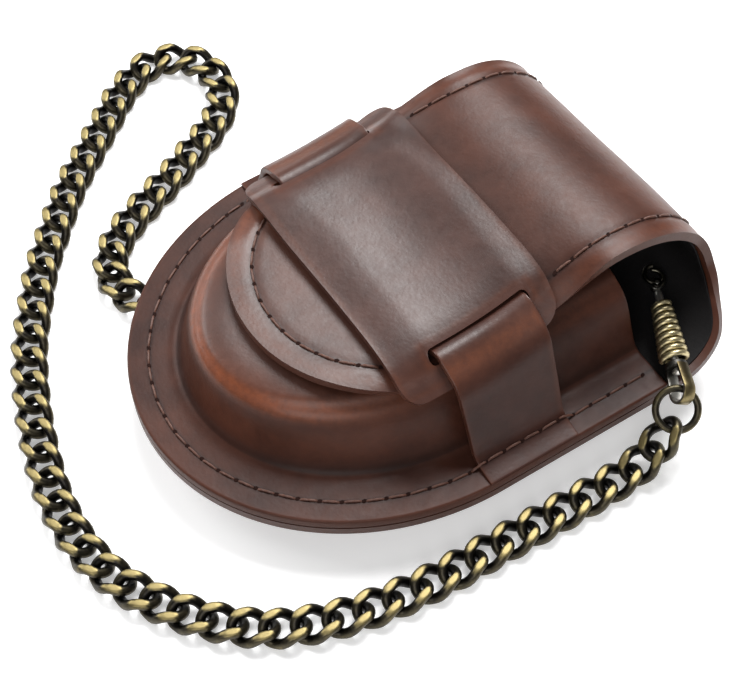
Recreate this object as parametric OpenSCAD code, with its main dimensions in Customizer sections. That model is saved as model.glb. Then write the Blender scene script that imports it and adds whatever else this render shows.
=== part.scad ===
// Leather belt pouch for a pocket watch, lying on its back: a dished pocket sewn to a flat back
// panel, the back panel rolled over the top and brought forward as a tongue flap, a slotted keeper
// band over the flap held by a cross strap, a belt loop behind, and a twisted link chain that runs
// from a leather loop under the pouch to a jump ring and a spring clasp lying in the roll.
// Millimetres, +Z up, the pocket mouth faces +Y.

/* [Pouch] */
// width across the sewn flange
flange_w = 80; // [76:1:84]
// reach of the rounded nose of the flange
nose_len = 45.5; // [43:0.5:49]
// straight side of the flange, from the nose curve to the pocket mouth
mouth_y = 34.5; // [33:0.5:35.5]
// thickness of the front leather
front_t = 1.8; // [1.6:0.1:2]
// thickness of the back leather
back_t = 2; // [1.8:0.1:2.2]
// thickness of the pocket lining
lining_t = 0.8; // [0.6:0.1:0.9]

/* [Pocket] */
// height of the dished pocket above the flange
dome_h = 13.3; // [12.6:0.1:14.4]
// flat flange left outside the dished pocket
dome_margin = 9.8; // [9.4:0.1:10.6]

/* [Roll and flap] */
// height of the roll crest above the flange
roll_h = 23.4; // [22.6:0.2:25]
// reach of the roll behind its crest
roll_len = 20; // [19:0.5:22]
// width of the tongue flap
flap_w = 52; // [50:0.5:52.5]
// reach of the flap nose
flap_len = 24.8; // [23:0.2:26.4]
// thickness of the flap leather
flap_t = 1.7; // [1.5:0.1:1.9]
// thickness of the flap lining
flap_lining_t = 0.4; // [0.3:0.1:0.5]

/* [Keeper] */
// how far the keeper band reaches past each side of the flap
band_over = 1.2; // [0.8:0.1:1.6]
// front edge of the keeper band
band_front = -10.5; // [-12:0.5:-9]
// rear edge of the keeper band
band_rear = 20; // [19:0.5:21]
// thickness of the keeper band
band_t = 1.5; // [1.3:0.1:1.7]
// width of the cross strap
strap_w = 18; // [16:0.5:19]
// thickness of the cross strap
strap_t = 1.4; // [1.2:0.1:1.5]

/* [Belt loop] */
// width of the belt loop
loop_w = 30; // [26:1:31]
// thickness of the belt loop
loop_t = 2; // [1.6:0.1:2.4]
// space left for the belt behind the back panel
belt_gap = 4.5; // [4.4:0.1:5.4]
// widest belt that goes through
belt_room = 38; // [34:1:40]

/* [Stitching] */
// pitch of the stitches
stitch_pitch = 3.7; // [3.4:0.1:4.2]
// visible length of one stitch
stitch_len = 2.7; // [2.3:0.1:3]
// width of the thread
stitch_w = 0.8; // [0.6:0.1:1]
// height of the thread above the leather
stitch_h = 0.25; // [0.15:0.05:0.3]
// distance of the flange seam from the edge
seam_in = 3.9; // [3.6:0.1:4.4]

/* [Chain] */
// outer length of one link
link_l = 9.3; // [9.1:0.1:9.5]
// outer width of one link
link_w = 7.2; // [7:0.1:7.4]
// wire of the link
link_wire = 1.6; // [1.4:0.05:1.65]
// step from link to link
link_pitch = 5.25; // [5.15:0.05:5.35]
// twist of each end of a link
link_twist = 33; // [32:1:36]
// outside of the jump ring
ring_od = 8.6; // [8.2:0.1:9]
// wire of the jump ring
ring_wire = 1.3; // [1.1:0.05:1.4]

/* [Clasp] */
// length of the conical spring
spring_l = 12.4; // [11.6:0.2:13]
// turns of the spring
spring_turns = 8; // [7:0.5:8.5]
// wire of the spring
spring_wire = 0.8; // [0.6:0.05:0.85]
// outside of the wide end of the spring
spring_od = 5.2; // [4.8:0.1:5.4]
// thickness of the rod through the spring
rod_d = 1; // [0.9:0.05:1.1]
// outside of the strip eye
eye_od = 4.9; // [4.8:0.1:5.2]
// length of the closed claws
claw_l = 4.6; // [4.2:0.1:5]

/* [Hidden] */
hair = 0.03;
slab = 0.02;
cut = 1;
fine = 32;
half_w = flange_w / 2;
roll_y = mouth_y - 1.5;
low_y = mouth_y + 1.5;
roll_back = roll_y + roll_len;
y_mid = (roll_back - nose_len) / 2;
back_z = -front_t - back_t;
table_z = back_z - belt_gap - loop_t;
lining_z = lining_t - front_t;
turn_z = 7;

// outline of the flange, and of any band inside it
nose_n = 14;
function nose_arc(a, b) = [for (i = [-nose_n : nose_n]) let (k = 90 * i / nose_n)
  [a * sin(k), -b * cos(k)]];
module outline(a, b, y_end)
  polygon(concat([[-a, y_end]], nose_arc(a, b), [[a, y_end]]));

// the dished form, as insets from the foot and heights
dome_a = half_w - dome_margin;
dome_b = nose_len - dome_margin;
dome_k = dome_h / 13.3;
lean = 0.6;
dome_rows = [[0, 0], [2.2, 7.3], [3.6, 9.8], [5.6, 11.6], [8.5, 12.7], [13, 13.1], [20, 13.3]];
module dome_form(off, y_end)
  hull() {
    translate([0, 0, -off - cut])
      linear_extrude(slab)
        outline(dome_a - off, dome_b - off, y_end);
    for (r = dome_rows)
      translate([0, 0, r[1] * dome_k - off - slab])
        linear_extrude(slab)
          outline(dome_a - r[0] - off, dome_b - lean * r[0] - off, y_end);
  }

// a closed skin between two grids of points, columns first
function skin_points(a, b) = concat([for (r = a) for (p = r) p], [for (r = b) for (p = r) p]);
function skin_faces(rn, cn) = let (m = rn * cn, last = cn - 1, end = (rn - 1) * cn)
  concat(
    [for (i = [0 : rn - 2]) for (j = [0 : cn - 2]) let (k = i * cn + j) [k, k + 1, k + cn + 1]],
    [for (i = [0 : rn - 2]) for (j = [0 : cn - 2]) let (k = i * cn + j) [k, k + cn + 1, k + cn]],
    [for (i = [0 : rn - 2]) for (j = [0 : cn - 2]) let (k = m + i * cn + j)
      [k, k + cn + 1, k + 1]],
    [for (i = [0 : rn - 2]) for (j = [0 : cn - 2]) let (k = m + i * cn + j)
      [k, k + cn, k + cn + 1]],
    [for (j = [0 : cn - 2]) [j + 1, j, m + j]],
    [for (j = [0 : cn - 2]) [j + 1, m + j, m + j + 1]],
    [for (j = [0 : cn - 2]) let (k = end + j) [k, k + 1, m + k + 1]],
    [for (j = [0 : cn - 2]) let (k = end + j) [k, m + k + 1, m + k]],
    [for (i = [0 : rn - 2]) let (k = i * cn + last) [k + cn, k, m + k]],
    [for (i = [0 : rn - 2]) let (k = i * cn + last) [k + cn, m + k, m + k + cn]],
    [for (i = [0 : rn - 2]) let (k = i * cn) [k, k + cn, m + k + cn]],
    [for (i = [0 : rn - 2]) let (k = i * cn) [k, m + k + cn, m + k]]);
module skin(a, b)
  polyhedron(points = skin_points(a, b), faces = skin_faces(len(a), len(a[0])));

// roll profile: a point on an ellipse with its outward direction, and the width at a height
low_s = [roll_back - low_y, turn_z - back_z];
top_s = [roll_len, roll_h - turn_z];
function unit(v) = v / norm(v);
function low_p(k) = [low_y + low_s[0] * cos(k), turn_z + low_s[1] * sin(k)];
function low_n(k) = unit([cos(k) / low_s[0], sin(k) / low_s[1]]);
function top_p(k) = [roll_y + top_s[0] * cos(k), turn_z + top_s[1] * sin(k)];
function top_n(k) = unit([cos(k) / top_s[0], sin(k) / top_s[1]]);
flare = [[back_z, 1], [0, 0.78], [3.3, 0.38], [8, 0.12], [14, 0], [40, 0]];
function roll_w(z) = flap_w / 2 + (half_w - flap_w / 2) * lookup(z, flare);

// rows of the lower roll: profile point, direction, half width
low_k = [-90, -78, -64, -50, -36, -22, -10, 0];
function low_rows() = concat([[[low_y - cut, back_z], [0, -1], half_w]],
  [for (k = low_k) [low_p(k), low_n(k), roll_w(low_p(k)[1])]]);
function low_grid(off, side_in) = [for (r = low_rows()) let (q = r[0] - off * r[1])
  [for (u = [-1, 1]) [u * (r[2] - side_in), q[0], q[1]]]];

// flap surface: height along the middle, sag toward the sides where the keeper presses it down
clear = 0.4;
flap_z = dome_h + clear + flap_lining_t + flap_t;
land_y = -8;
function climb(y) = let (t = min(max((y - land_y) / (roll_y - land_y), 0), 1))
  pow((1 - cos(180 * t)) / 2, 2);
function rise(y) = (roll_h - flap_z) * climb(y);
sag_rows = [[0, 5.06], [5.6, 1.7], [8.5, 0.6], [13, 0], [60, 0]];
function hold(y) = (1 + cos(180 * min(max((y - 20) / (roll_y - 22), 0), 1))) / 2;
function sag(x) = dome_k * lookup(dome_a - abs(x), sag_rows);
function flap_top(x, y) = flap_z + rise(y) - sag(x) * hold(y);
function slope(y) = (rise(y + 0.1) - rise(y - 0.1)) / 0.2;
function flap_n(y) = unit([-slope(y), 1]);
roll_k = [1.2, 13, 26, 39, 52, 64, 75, 84, 90];
run_y = [29.5, 26, 23, 20, 17, 13.5, 10, 6, 2, -2];
nose_k = [12, 24, 35, 46, 56, 66, 75, 83];
function flap_rows(side_in) = concat(
  [for (k = roll_k) [top_p(k), top_n(k), roll_w(top_p(k)[1]) - side_in]],
  [for (y = run_y) [[y, flap_z + rise(y)], flap_n(y), flap_w / 2 - side_in]],
  [for (k = nose_k) let (y = -(flap_len - side_in) * sin(k))
    [[y, flap_z + rise(y)], flap_n(y), (flap_w / 2 - side_in) * cos(k)]]);
sag_x = [for (i = [0 : 3]) dome_a - sag_rows[i][0]];
col_k = [1, 0.95, 0.85, 0.67];
function col_x(w, i) = min(w * col_k[i], i == 0 ? w : sag_x[i]);
function flap_cols(w) = [-col_x(w, 0), -col_x(w, 1), -col_x(w, 2), -col_x(w, 3),
  col_x(w, 3), col_x(w, 2), col_x(w, 1), col_x(w, 0)];
function flap_grid(off, side_in) = [for (r = flap_rows(side_in)) let (q = r[0] - off * r[1])
  [for (x = flap_cols(r[2])) [x, q[0], q[1] - (r[0][0] < roll_y ? sag(x) * hold(r[0][0]) : 0)]]];

// keeper band: its underside follows the flap and lifts where the strap runs below it
strap_y = [6.5 - strap_w / 2, 6.5 + strap_w / 2];
slot_x = [flap_w / 2 - 6.4, flap_w / 2 - 4.1];
slot_y = [strap_y[0] - 0.7, strap_y[1] + 0.7];
band_gap = 0.25;
lift_rows = [[band_front + 1, 0], [band_front + 3, 0.15], [slot_y[0] - 2, 0.5], [slot_y[0], 0.95],
  [slot_y[0] + 1, 1], [slot_y[1] - 1, 1], [slot_y[1], 0.95], [slot_y[1] + 1.4, 0.5],
  [band_rear - 0.5, 0.1], [band_rear, 0]];
lift_side = [[slot_x[0], 1], [slot_x[1], 0]];
function lift(x, y) = (strap_t + band_gap) * lookup(y, lift_rows) * lookup(abs(x), lift_side);
function band_low(x, y) = flap_top(x, min(y, 20)) + rise(y) - rise(min(y, 20)) + clear + lift(x, y);
band_y = [band_rear, band_rear - 0.6, band_rear - 2.2, slot_y[1], 12, 8, 4, 0, slot_y[0],
  slot_y[0] - 2.3, band_front + 3, band_front + 0.8, band_front];
band_in = [3.2, 1.2, 0, 0, 0, 0, 0, 0, 0, 0, 0, 1.2, 3.4];
band_k = [1, 0.955, 0.91, 0.81, 0.725, 0.64];
band_half = flap_w / 2 + band_over;
band_x = [band_half, flap_w / 2 - 0.1, flap_w / 2 - 1.4, slot_x[1], slot_x[0], slot_x[0] - 2.4];
function band_col(w, i) = min(w * band_k[i], band_x[i]);
function band_cols(w) = concat([for (i = [0 : 5]) -band_col(w, i)], [for (i = [5 : -1 : 0])
  band_col(w, i)]);
function band_n(x, y) = unit([(band_low(x - 0.4, y) - band_low(x + 0.4, y)) / 0.8,
  (band_low(x, y - 0.4) - band_low(x, y + 0.4)) / 0.8, 1]);
function band_grid(off) = [for (i = [0 : len(band_y) - 1]) let (y = band_y[i])
  [for (x = band_cols(band_half - band_in[i]))
    [x, y, band_low(x, y)] + off * band_n(x, y)]];

// cross strap: middle line of its section (x, height over the flap or over the flange), how far
// it follows the climb of the flap, and its thickness
function over(x) = flap_z - sag(x);
edge_x = flap_w / 2 - 0.1;
fall_x = band_half + 3.3;
fall_z = flap_z - 4.6;
foot_x = half_w - 5.8;
function fall(k) = fall_x + (foot_x - fall_x) * k;
strap_half = [[0, flap_z + clear + strap_t / 2, 1, 1],
  [slot_x[0] - 2.4, flap_z + clear + strap_t / 2, 1, 1],
  [slot_x[0], over(slot_x[0]) + clear + strap_t / 2 + 0.05, 1, 1],
  [slot_x[1] + 0.1, over(slot_x[1]) + clear + band_t * 1.1 + strap_t * 0.62, 1, 1],
  [edge_x - 1.3, over(edge_x - 1.3) + clear + band_t * 1.1 + strap_t * 0.62, 1, 1],
  [edge_x, over(edge_x) + clear + band_t * 1.2 + strap_t * 0.64, 1, 1],
  [band_half + 0.8, over(edge_x) + clear + band_t * 1.6 - 0.4, 0.95, 1],
  [band_half + 2.4, over(edge_x) + 0.25, 0.85, 1], [fall_x, fall_z, 0.7, 1],
  [fall(0.4), fall_z * 0.67, 0.45, 1], [fall(0.73), fall_z * 0.375, 0.22, 1],
  [foot_x, fall_z * 0.18, 0.08, 1], [half_w - 4.6, strap_t * 0.46, 0, 0.9],
  [half_w - 0.1, strap_t * 0.32, 0, 0.62]];
strap_line = concat([for (i = [len(strap_half) - 1 : -1 : 1]) let (p = strap_half[i])
  [-p[0], p[1], p[2], p[3]]], strap_half);
function strap_n(i) = let (a = strap_line[max(i - 1, 0)],
  b = strap_line[min(i + 1, len(strap_line) - 1)]) unit([a[1] - b[1], b[0] - a[0]]);
strap_cols = [strap_y[0], strap_y[0] + strap_w / 3, strap_y[1] - strap_w / 3, strap_y[1]];
function strap_grid(side) = [for (i = [0 : len(strap_line) - 1]) let (p = strap_line[i],
    n = (p[2] == 0 ? [0, 1] : strap_n(i)), h = side * strap_t * p[3] / 2)
  [for (y = strap_cols) [p[0] + h * n[0], y, p[1] + rise(y) * p[2] + h * n[1]]]];

// walking along a line of points: lengths, a point at a length, and the turn that puts a piece
// on it with its long side along the line and its top along a given direction
function lengths(p) = [for (i = 0, s = 0; i < len(p);
  s = s + (i + 1 < len(p) ? norm(p[i + 1] - p[i]) : 0), i = i + 1) s];
function column(s, p, k) = [for (i = [0 : len(p) - 1]) [s[i], p[i][k]]];
function at(c, s) = [lookup(s, c[0]), lookup(s, c[1]), lookup(s, c[2])];
function columns(p) = let (s = lengths(p)) [column(s, p, 0), column(s, p, 1), column(s, p, 2)];
function turn(t, n) = let (yaw = atan2(t[1], t[0]), side = [-sin(yaw), cos(yaw), 0],
  up = cross(t, side)) [atan2(-(n * side), n * up), -asin(t[2]), yaw];
module stitch()
  rotate([90, 0, 90])
    translate([0, 0, -stitch_len / 2])
      linear_extrude(stitch_len)
        polygon([[-stitch_w / 2, 0], [stitch_w / 2, 0], [stitch_w / 3, stitch_h],
          [-stitch_w / 3, stitch_h]]);
module sewn(line, up, gap)
  let (c = columns(line), u = columns_of(line, up), total = lengths(line)[len(line) - 1],
    count = floor((total - stitch_len) / stitch_pitch), first = (total - count * stitch_pitch) / 2)
    for (i = [0 : count])
      let (s = first + i * stitch_pitch, p = at(c, s),
        t = unit(at(c, s + stitch_len / 2) - at(c, s - stitch_len / 2)), n = unit(at(u, s)))
        translate(p + gap * n)
          rotate(turn(t, n))
            stitch();
function columns_of(p, v) = let (s = lengths(p)) [column(s, v, 0), column(s, v, 1),
  column(s, v, 2)];

// seam of the flange, with the strap ends lifting it
seam_a = half_w - seam_in;
seam_b = nose_len - seam_in;
seam_step = 1.25;
side_y = [for (y = [mouth_y - 1.2 : -seam_step : 0]) y];
seam = concat([for (y = side_y) [-seam_a, y]], [for (k = [-89 : 2 : 89]) [seam_a * sin(k),
  -seam_b * cos(k)]], [for (i = [len(side_y) - 1 : -1 : 0]) [seam_a, side_y[i]]]);
strap_top = strap_t * 0.9;
seam_clear = stitch_len / 2 + 0.1;
function seam_z(p) = p[1] > strap_y[0] - seam_clear && p[1] < strap_y[1] + seam_clear ?
  strap_top : 0;
function tab_at(p) = let (a = atan2(end_t[1], end_t[0]), d = [p[0] - end_p[0], p[1] - end_p[1]],
  u = d[0] * cos(a) + d[1] * sin(a) - tip_out - loop_hole, v = d[1] * cos(a) - d[0] * sin(a))
  u > -1.8 && u < tab_l + 1.8 && abs(v) < tab_w / 2 + 1.8 ? tab_t : 0;
seam_over = [for (p = seam) [p[0], p[1], 0]];
seam_under = [for (p = seam) [p[0], p[1], back_z]];
module seam_row(line, dir)
  let (c = columns(line), total = lengths(line)[len(line) - 1],
    count = floor((total - stitch_len) / stitch_pitch), first = (total - count * stitch_pitch) / 2)
    for (i = [0 : count])
      let (s = first + i * stitch_pitch, p = at(c, s),
        t = unit(at(c, s + stitch_len / 2) - at(c, s - stitch_len / 2)))
        translate(p + [0, 0, dir > 0 ? seam_z(p) : -tab_at(p)])
          rotate(turn(t, [0, 0, dir]))
            stitch();

// seams of the flap and of the roll
flap_in = 4.4;
function flap_line(u) = concat(
  [for (k = [6 : 6 : 84]) let (p = top_p(k)) [u * (roll_w(p[1]) - flap_in), p[0], p[1]]],
  [for (y = [roll_y - 1 : -1.5 : band_rear + 1.5]) [u * (flap_w / 2 - flap_in), y,
    flap_top(flap_w / 2 - flap_in, y)]]);
function flap_line_n(u) = concat([for (k = [6 : 6 : 84]) [0, top_n(k)[0], top_n(k)[1]]],
  [for (y = [roll_y - 1 : -1.5 : band_rear + 1.5]) [0, flap_n(y)[0], flap_n(y)[1]]]);
tip_k = [for (k = [-58 : 4 : 58]) k];
tip_line = [for (k = tip_k) let (x = (flap_w / 2 - flap_in) * sin(k),
  y = -(flap_len - flap_in) * cos(k)) [x, y, flap_top(x, y)]];
tip_n = [for (k = tip_k) [0, 0, 1]];
function low_line(u) = [for (k = [-74 : 6 : -8]) let (p = low_p(k))
  [u * (roll_w(p[1]) - flap_in), p[0], p[1]]];
function low_line_n(u) = [for (k = [-74 : 6 : -8]) [0, low_n(k)[0], low_n(k)[1]]];

// chain: the line it lies along, laid for a flange 80 wide with a nose of 45.5, and the height of
// its middle over the table
lay_w = 80;
lay_nose = 45.5;
lay = [[46.3, 30.3], [47, 24.6], [47.1, 19.2], [47, 14.5], [46.6, 4.3], [46.3, -5.8], [46, -16.6],
  [44.8, -26.8], [42.5, -36], [38.3, -45], [31.7, -52.6], [24.5, -58], [16.3, -62.2],
  [7.1, -64.2], [-3.1, -63.9], [-13.7, -61.6], [-23.9, -58.3], [-34.1, -53.8], [-41.8, -49.1],
  [-49.5, -43.9], [-56.9, -37.5], [-64.3, -30.6], [-69.6, -24.4], [-75.4, -17.4],
  [-81.5, -9.8], [-84.8, -2.2], [-82.6, 4.6], [-76.3, 7.6], [-69, 6.4], [-63.4, 1.4],
  [-59.7, -5.1], [-56.2, -11.6], [-53.5, -17.6], [-50.8, -23.4], [-47.4, -28.8],
  [-42.6, -32.8], [-37, -33.6], [-32, -31.6], [-27.2, -28.2]];
link_r = link_wire / 2;
link_turn = link_w / 2 - link_r;
link_bar = link_l / 2 - link_r - link_turn;
lie_z = table_z + link_turn * sin(link_twist) + link_r + hair;
lay_z = [back_z + 1.1, back_z - 3.1];
ring_r = (ring_od - ring_wire) / 2;
laid = [for (i = [0 : len(lay) - 1]) [lay[i][0] * flange_w / lay_w,
  lay[i][1] * (lay[i][1] < 0 ? nose_len / lay_nose : 1), i < 2 ? lay_z[i] : lie_z]];
clasp_at = [38.2 * flange_w / lay_w, low_y + 1.1, lining_z + spring_od / 2 + 0.3];
clasp_yaw = 155.2;
clasp_rise = 6.5;
eye_x = -5.2;
function clasp_point(p) = let (x = p[0] * cos(clasp_rise) - p[2] * sin(clasp_rise))
  clasp_at + [x * cos(clasp_yaw) - p[1] * sin(clasp_yaw),
  x * sin(clasp_yaw) + p[1] * cos(clasp_yaw), p[0] * sin(clasp_rise) + p[2] * cos(clasp_rise)];
ring_top = clasp_point([eye_x, 0, 0]) + [0, 0.3, 0.15];
ring_low = ring_top + 2 * ring_r * unit(laid[0] - ring_top);
route = concat([ring_low], [for (i = [1 : len(laid) - 1]) laid[i]]);
smooth = 6;
function knot(i) = i < 0 ? 2 * route[0] - route[1] : i > len(route) - 1 ?
  2 * route[len(route) - 1] - route[len(route) - 2] : route[i];
function bend(a, b, c, d, t) = 0.5 * (2 * b + (c - a) * t + (2 * a - 5 * b + 4 * c - d) * t * t
  + (3 * b - a - 3 * c + d) * t * t * t);
chain_line = concat([for (i = [0 : len(route) - 2]) for (k = [0 : smooth - 1])
  let (p = bend(knot(i - 1), knot(i), knot(i + 1), knot(i + 2), k / smooth))
  [p[0], p[1], max(p[2], lie_z)]], [route[len(route) - 1]]);
chain_c = columns(chain_line);
chain_len = lengths(chain_line)[len(chain_line) - 1];
hook_in = link_l / 2 - link_wire - ring_wire / 2 - 0.3;
tip_out = link_l / 2 - link_r;
link_n = floor((chain_len - hook_in - tip_out) / link_pitch);
function link_p(i) = at(chain_c, hook_in + i * link_pitch);
function link_t(i) = unit(at(chain_c, hook_in + i * link_pitch + link_pitch / 2)
  - at(chain_c, hook_in + i * link_pitch - link_pitch / 2));
end_p = link_p(link_n);
end_t = link_t(link_n);
echo(chain_links = link_n + 1, chain_length = chain_len, link_lowest = lie_z - table_z);
module link_end(a)
  rotate([a, 0, 0])
    translate([link_bar, 0, 0])
      rotate([0, 0, -90])
        rotate_extrude(angle = 180, $fn = fine)
          translate([link_turn, 0])
            circle(r = link_r, $fn = fine);
module bar(p, q, r)
  translate(p)
    rotate([0, acos((q[2] - p[2]) / norm(q - p)), atan2(q[1] - p[1], q[0] - p[0])])
      cylinder(h = norm(q - p), r = r, $fn = fine);
module link(a)
  let (y = link_turn * cos(a), z = link_turn * sin(a)) {
    link_end(a);
    mirror([1, 0, 0])
      link_end(-a);
    for (u = [1, -1]) {
      bar([-link_bar, u * y, -u * z], [link_bar, u * y, u * z], link_r);
      for (v = [1, -1])
        translate([v * link_bar, u * y, v * u * z])
          sphere(r = link_r + hair, $fn = fine);
    }
  }
module links(from, to)
  for (i = [from : to])
    translate(link_p(i))
      rotate(turn(link_t(i), [0, 0, 1]))
        rotate([i == 0 ? first_roll : 0, 0, 0])
          link(i == 0 ? 0 : link_twist);
first_roll = 60;
third = floor(link_n / 4);

// clasp: lies in the roll, seen along its own axis, the eye behind and the claws ahead
eye_roll = -15;
eye_strip = 0.6;
eye_wide = 1.8;
plate_t = 1;
plate_r = spring_od / 2 - 0.3;
rod_l = spring_l + 3.4;
claw_r = 0.5;
claw_turn = claw_l / 2 - claw_r;
pin_r = 0.4;
pin_gap = 0.05;
knuckle = 1.1;
module in_clasp()
  translate(clasp_at)
    rotate([0, -clasp_rise, clasp_yaw])
      children();

// jump ring: hangs in the eye and holds the first link
ring_mid = (ring_top + ring_low) / 2;

module placed()
  translate([0, -y_mid, -table_z])
    children();

module back_panel()
  color("saddlebrown")
    placed() {
      translate([0, 0, back_z])
        linear_extrude(back_t)
          outline(half_w, nose_len, low_y);
      skin(low_grid(0, 0), low_grid(back_t, 0));
    }

module back_lining()
  color("black")
    placed() {
      translate([0, 0, -front_t + hair])
        linear_extrude(lining_t - hair)
          outline(dome_a - front_t - 0.4, dome_b - front_t - 0.4, low_y);
      translate([-half_w + 1.2, mouth_y + 0.4, -front_t + hair])
        cube([flange_w - 2.4, low_y - mouth_y - 0.4, lining_t - hair]);
      skin(low_grid(back_t + hair, 1.2), low_grid(back_t + lining_t, 1.2));
    }

module front_panel()
  color("sienna")
    placed()
      difference() {
        union() {
          translate([0, 0, -front_t])
            linear_extrude(front_t)
              outline(half_w, nose_len, mouth_y);
          dome_form(0, mouth_y);
        }
        dome_form(front_t, mouth_y + cut);
      }

module front_lining()
  color("black")
    placed()
      difference() {
        dome_form(front_t + hair, mouth_y - 0.3);
        dome_form(front_t + lining_t, mouth_y + cut);
        translate([-half_w, -nose_len, lining_z + hair - 20])
          cube([flange_w, nose_len + mouth_y + 5, 20]);
      }

module flap()
  color("sienna")
    placed()
      skin(flap_grid(0, 0), flap_grid(flap_t, 0));

module flap_lining()
  color("black")
    placed()
      skin(flap_grid(flap_t + 2 * hair, 1.1), flap_grid(flap_t + flap_lining_t, 1.1));

module keeper_band()
  color("saddlebrown")
    placed()
      difference() {
        skin(band_grid(band_t), band_grid(0));
        for (u = [1, -1])
          translate([u > 0 ? slot_x[0] : -slot_x[1], slot_y[0], 0])
            cube([slot_x[1] - slot_x[0], slot_y[1] - slot_y[0], 40]);
      }

module keeper_strap()
  color("sienna")
    placed()
      skin(strap_grid(1), strap_grid(-1));

// belt loop: a strip from nose to roll with its two ends sewn flat to the back
loop_in = belt_room / 2;
loop_rise = 5;
loop_end = 7;
loop_a = loop_in - 3;
loop_side = [[-loop_in - loop_end, back_z], [-loop_in - loop_end, back_z - loop_t],
  [-loop_in, back_z - loop_t], [-loop_a + 1, table_z], [loop_a - 1, table_z],
  [loop_in, back_z - loop_t], [loop_in + loop_end, back_z - loop_t],
  [loop_in + loop_end, back_z], [loop_in + 0.6, back_z], [loop_a, table_z + loop_t],
  [-loop_a, table_z + loop_t], [-loop_in - 0.6, back_z]];
module belt_loop()
  color("saddlebrown")
    placed()
      translate([-loop_w / 2, 0, 0])
        rotate([90, 0, 90])
          linear_extrude(loop_w)
            polygon(loop_side);

module flange_stitches()
  color("tan")
    placed() {
      seam_row(seam_over, 1);
      seam_row(seam_under, -1);
    }

module flap_stitches()
  color("tan")
    placed() {
      sewn(flap_line(1), flap_line_n(1), 0.08);
      sewn(flap_line(-1), flap_line_n(-1), 0.08);
      sewn(tip_line, tip_n, 0.08);
    }

module roll_stitches()
  color("tan")
    placed() {
      sewn(low_line(1), low_line_n(1), 0.06);
      sewn(low_line(-1), low_line_n(-1), 0.06);
    }

loop_seam_x = loop_w / 2 - 2.4;
loop_seam_y = loop_in + loop_end / 2 + 0.2;
module loop_stitches()
  color("tan")
    placed()
      for (v = [1, -1])
        for (w = [1, -1])
          for (i = [0 : floor(2 * loop_seam_x / stitch_pitch) - 1])
            translate([-loop_seam_x + (i + 0.7) * stitch_pitch, v * (loop_seam_y + w * 1.7),
              back_z - loop_t])
              rotate([180, 0, 0])
                stitch();

loop_hole = link_r + 0.42;
loop_skin = 0.9;
loop_wide = 2.4;
tab_l = 9;
tab_w = 7;
tab_t = 1.2;
module chain_loop()
  color("saddlebrown")
    placed() {
      translate(end_p)
        rotate(turn(end_t, [0, 0, 1]))
          translate([tip_out - 0.1, 0, 0])
            rotate([link_twist - 90, 0, 0])
              difference() {
                union() {
                  translate([0, 0, -loop_wide / 2])
                    cylinder(h = loop_wide, r = loop_hole + loop_skin, $fn = fine);
                  translate([0.4, -loop_hole - loop_skin, -loop_wide / 2])
                    cube([loop_hole + loop_skin + 1.6, loop_hole + loop_skin, loop_wide]);
                }
                translate([0, 0, -loop_wide])
                  cylinder(h = 2 * loop_wide, r = loop_hole, $fn = fine);
              }
      translate([end_p[0], end_p[1], 0])
        rotate([0, 0, atan2(end_t[1], end_t[0])])
          translate([tip_out + loop_hole, -tab_w / 2, back_z - tab_t])
            cube([tab_l, tab_w, tab_t]);
      translate([end_p[0], end_p[1], 0])
        rotate([0, 0, atan2(end_t[1], end_t[0])])
          translate([tip_out + loop_hole, -1.1, end_p[2]])
            cube([2.4, 2.2, back_z - tab_t - end_p[2] + 0.2]);
    }

module chain_near()
  color("darkkhaki")
    placed()
      links(0, third);

module chain_front()
  color("darkkhaki")
    placed()
      links(third + 1, 2 * third);

module chain_far()
  color("darkkhaki")
    placed()
      links(2 * third + 1, 3 * third);

module chain_tail()
  color("darkkhaki")
    placed()
      links(3 * third + 1, link_n);

module jump_ring()
  color("darkkhaki")
    placed()
      translate(ring_mid)
        rotate(turn(unit(ring_low - ring_top), [0.522, -0.309, 0.795]))
          rotate_extrude($fn = fine)
            translate([ring_r, 0])
              circle(r = ring_wire / 2, $fn = fine);

module clasp_eye()
  color("silver")
    placed()
      in_clasp()
        rotate([eye_roll, 0, 0])
          difference() {
            union() {
              rotate([90, 0, 0])
                translate([0, 0, -eye_wide / 2])
                  linear_extrude(eye_wide)
                    difference() {
                      union() {
                        translate([eye_x, 0])
                          circle(d = eye_od, $fn = fine);
                        polygon([[eye_x, eye_od / 2], [eye_x, -eye_od / 2],
                          [-plate_t / 2, -plate_r], [-plate_t / 2, plate_r]]);
                      }
                      translate([eye_x, 0])
                        circle(r = eye_od / 2 - eye_strip, $fn = fine);
                      polygon([[eye_x, eye_od / 2 - eye_strip], [eye_x, eye_strip - eye_od / 2],
                        [-plate_t - 0.01, eye_strip - plate_r], [-plate_t - 0.01,
                        plate_r - eye_strip]]);
                    }
              rotate([0, 90, 0])
                translate([0, 0, -plate_t])
                  cylinder(h = plate_t, r = plate_r, $fn = fine);
            }
            rotate([0, 90, 0])
              translate([0, 0, -plate_t - cut / 4])
                cylinder(h = plate_t + cut, r = rod_d / 2 + pin_gap, $fn = fine);
          }

module clasp_rod()
  color("silver")
    placed()
      in_clasp() {
        rotate([0, 90, 0])
          translate([0, 0, -plate_t - 0.9])
            cylinder(h = rod_l - knuckle + plate_t + 0.9, r = rod_d / 2, $fn = fine);
        rotate([0, 90, 0])
          translate([0, 0, -plate_t - 0.8])
            cylinder(h = 0.6, r = rod_d / 2 + 0.45, $fn = fine);
        translate([rod_l - knuckle - 0.4, -rod_d / 2 + 0.1, -0.3])
          cube([knuckle, rod_d - 0.2, 0.6]);
        translate([rod_l, 0, -0.3])
          cylinder(h = 0.6, r = 0.95, $fn = fine);
        translate([rod_l, 0, -1.25])
          cylinder(h = 2.5, r = pin_r, $fn = fine);
      }

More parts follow.
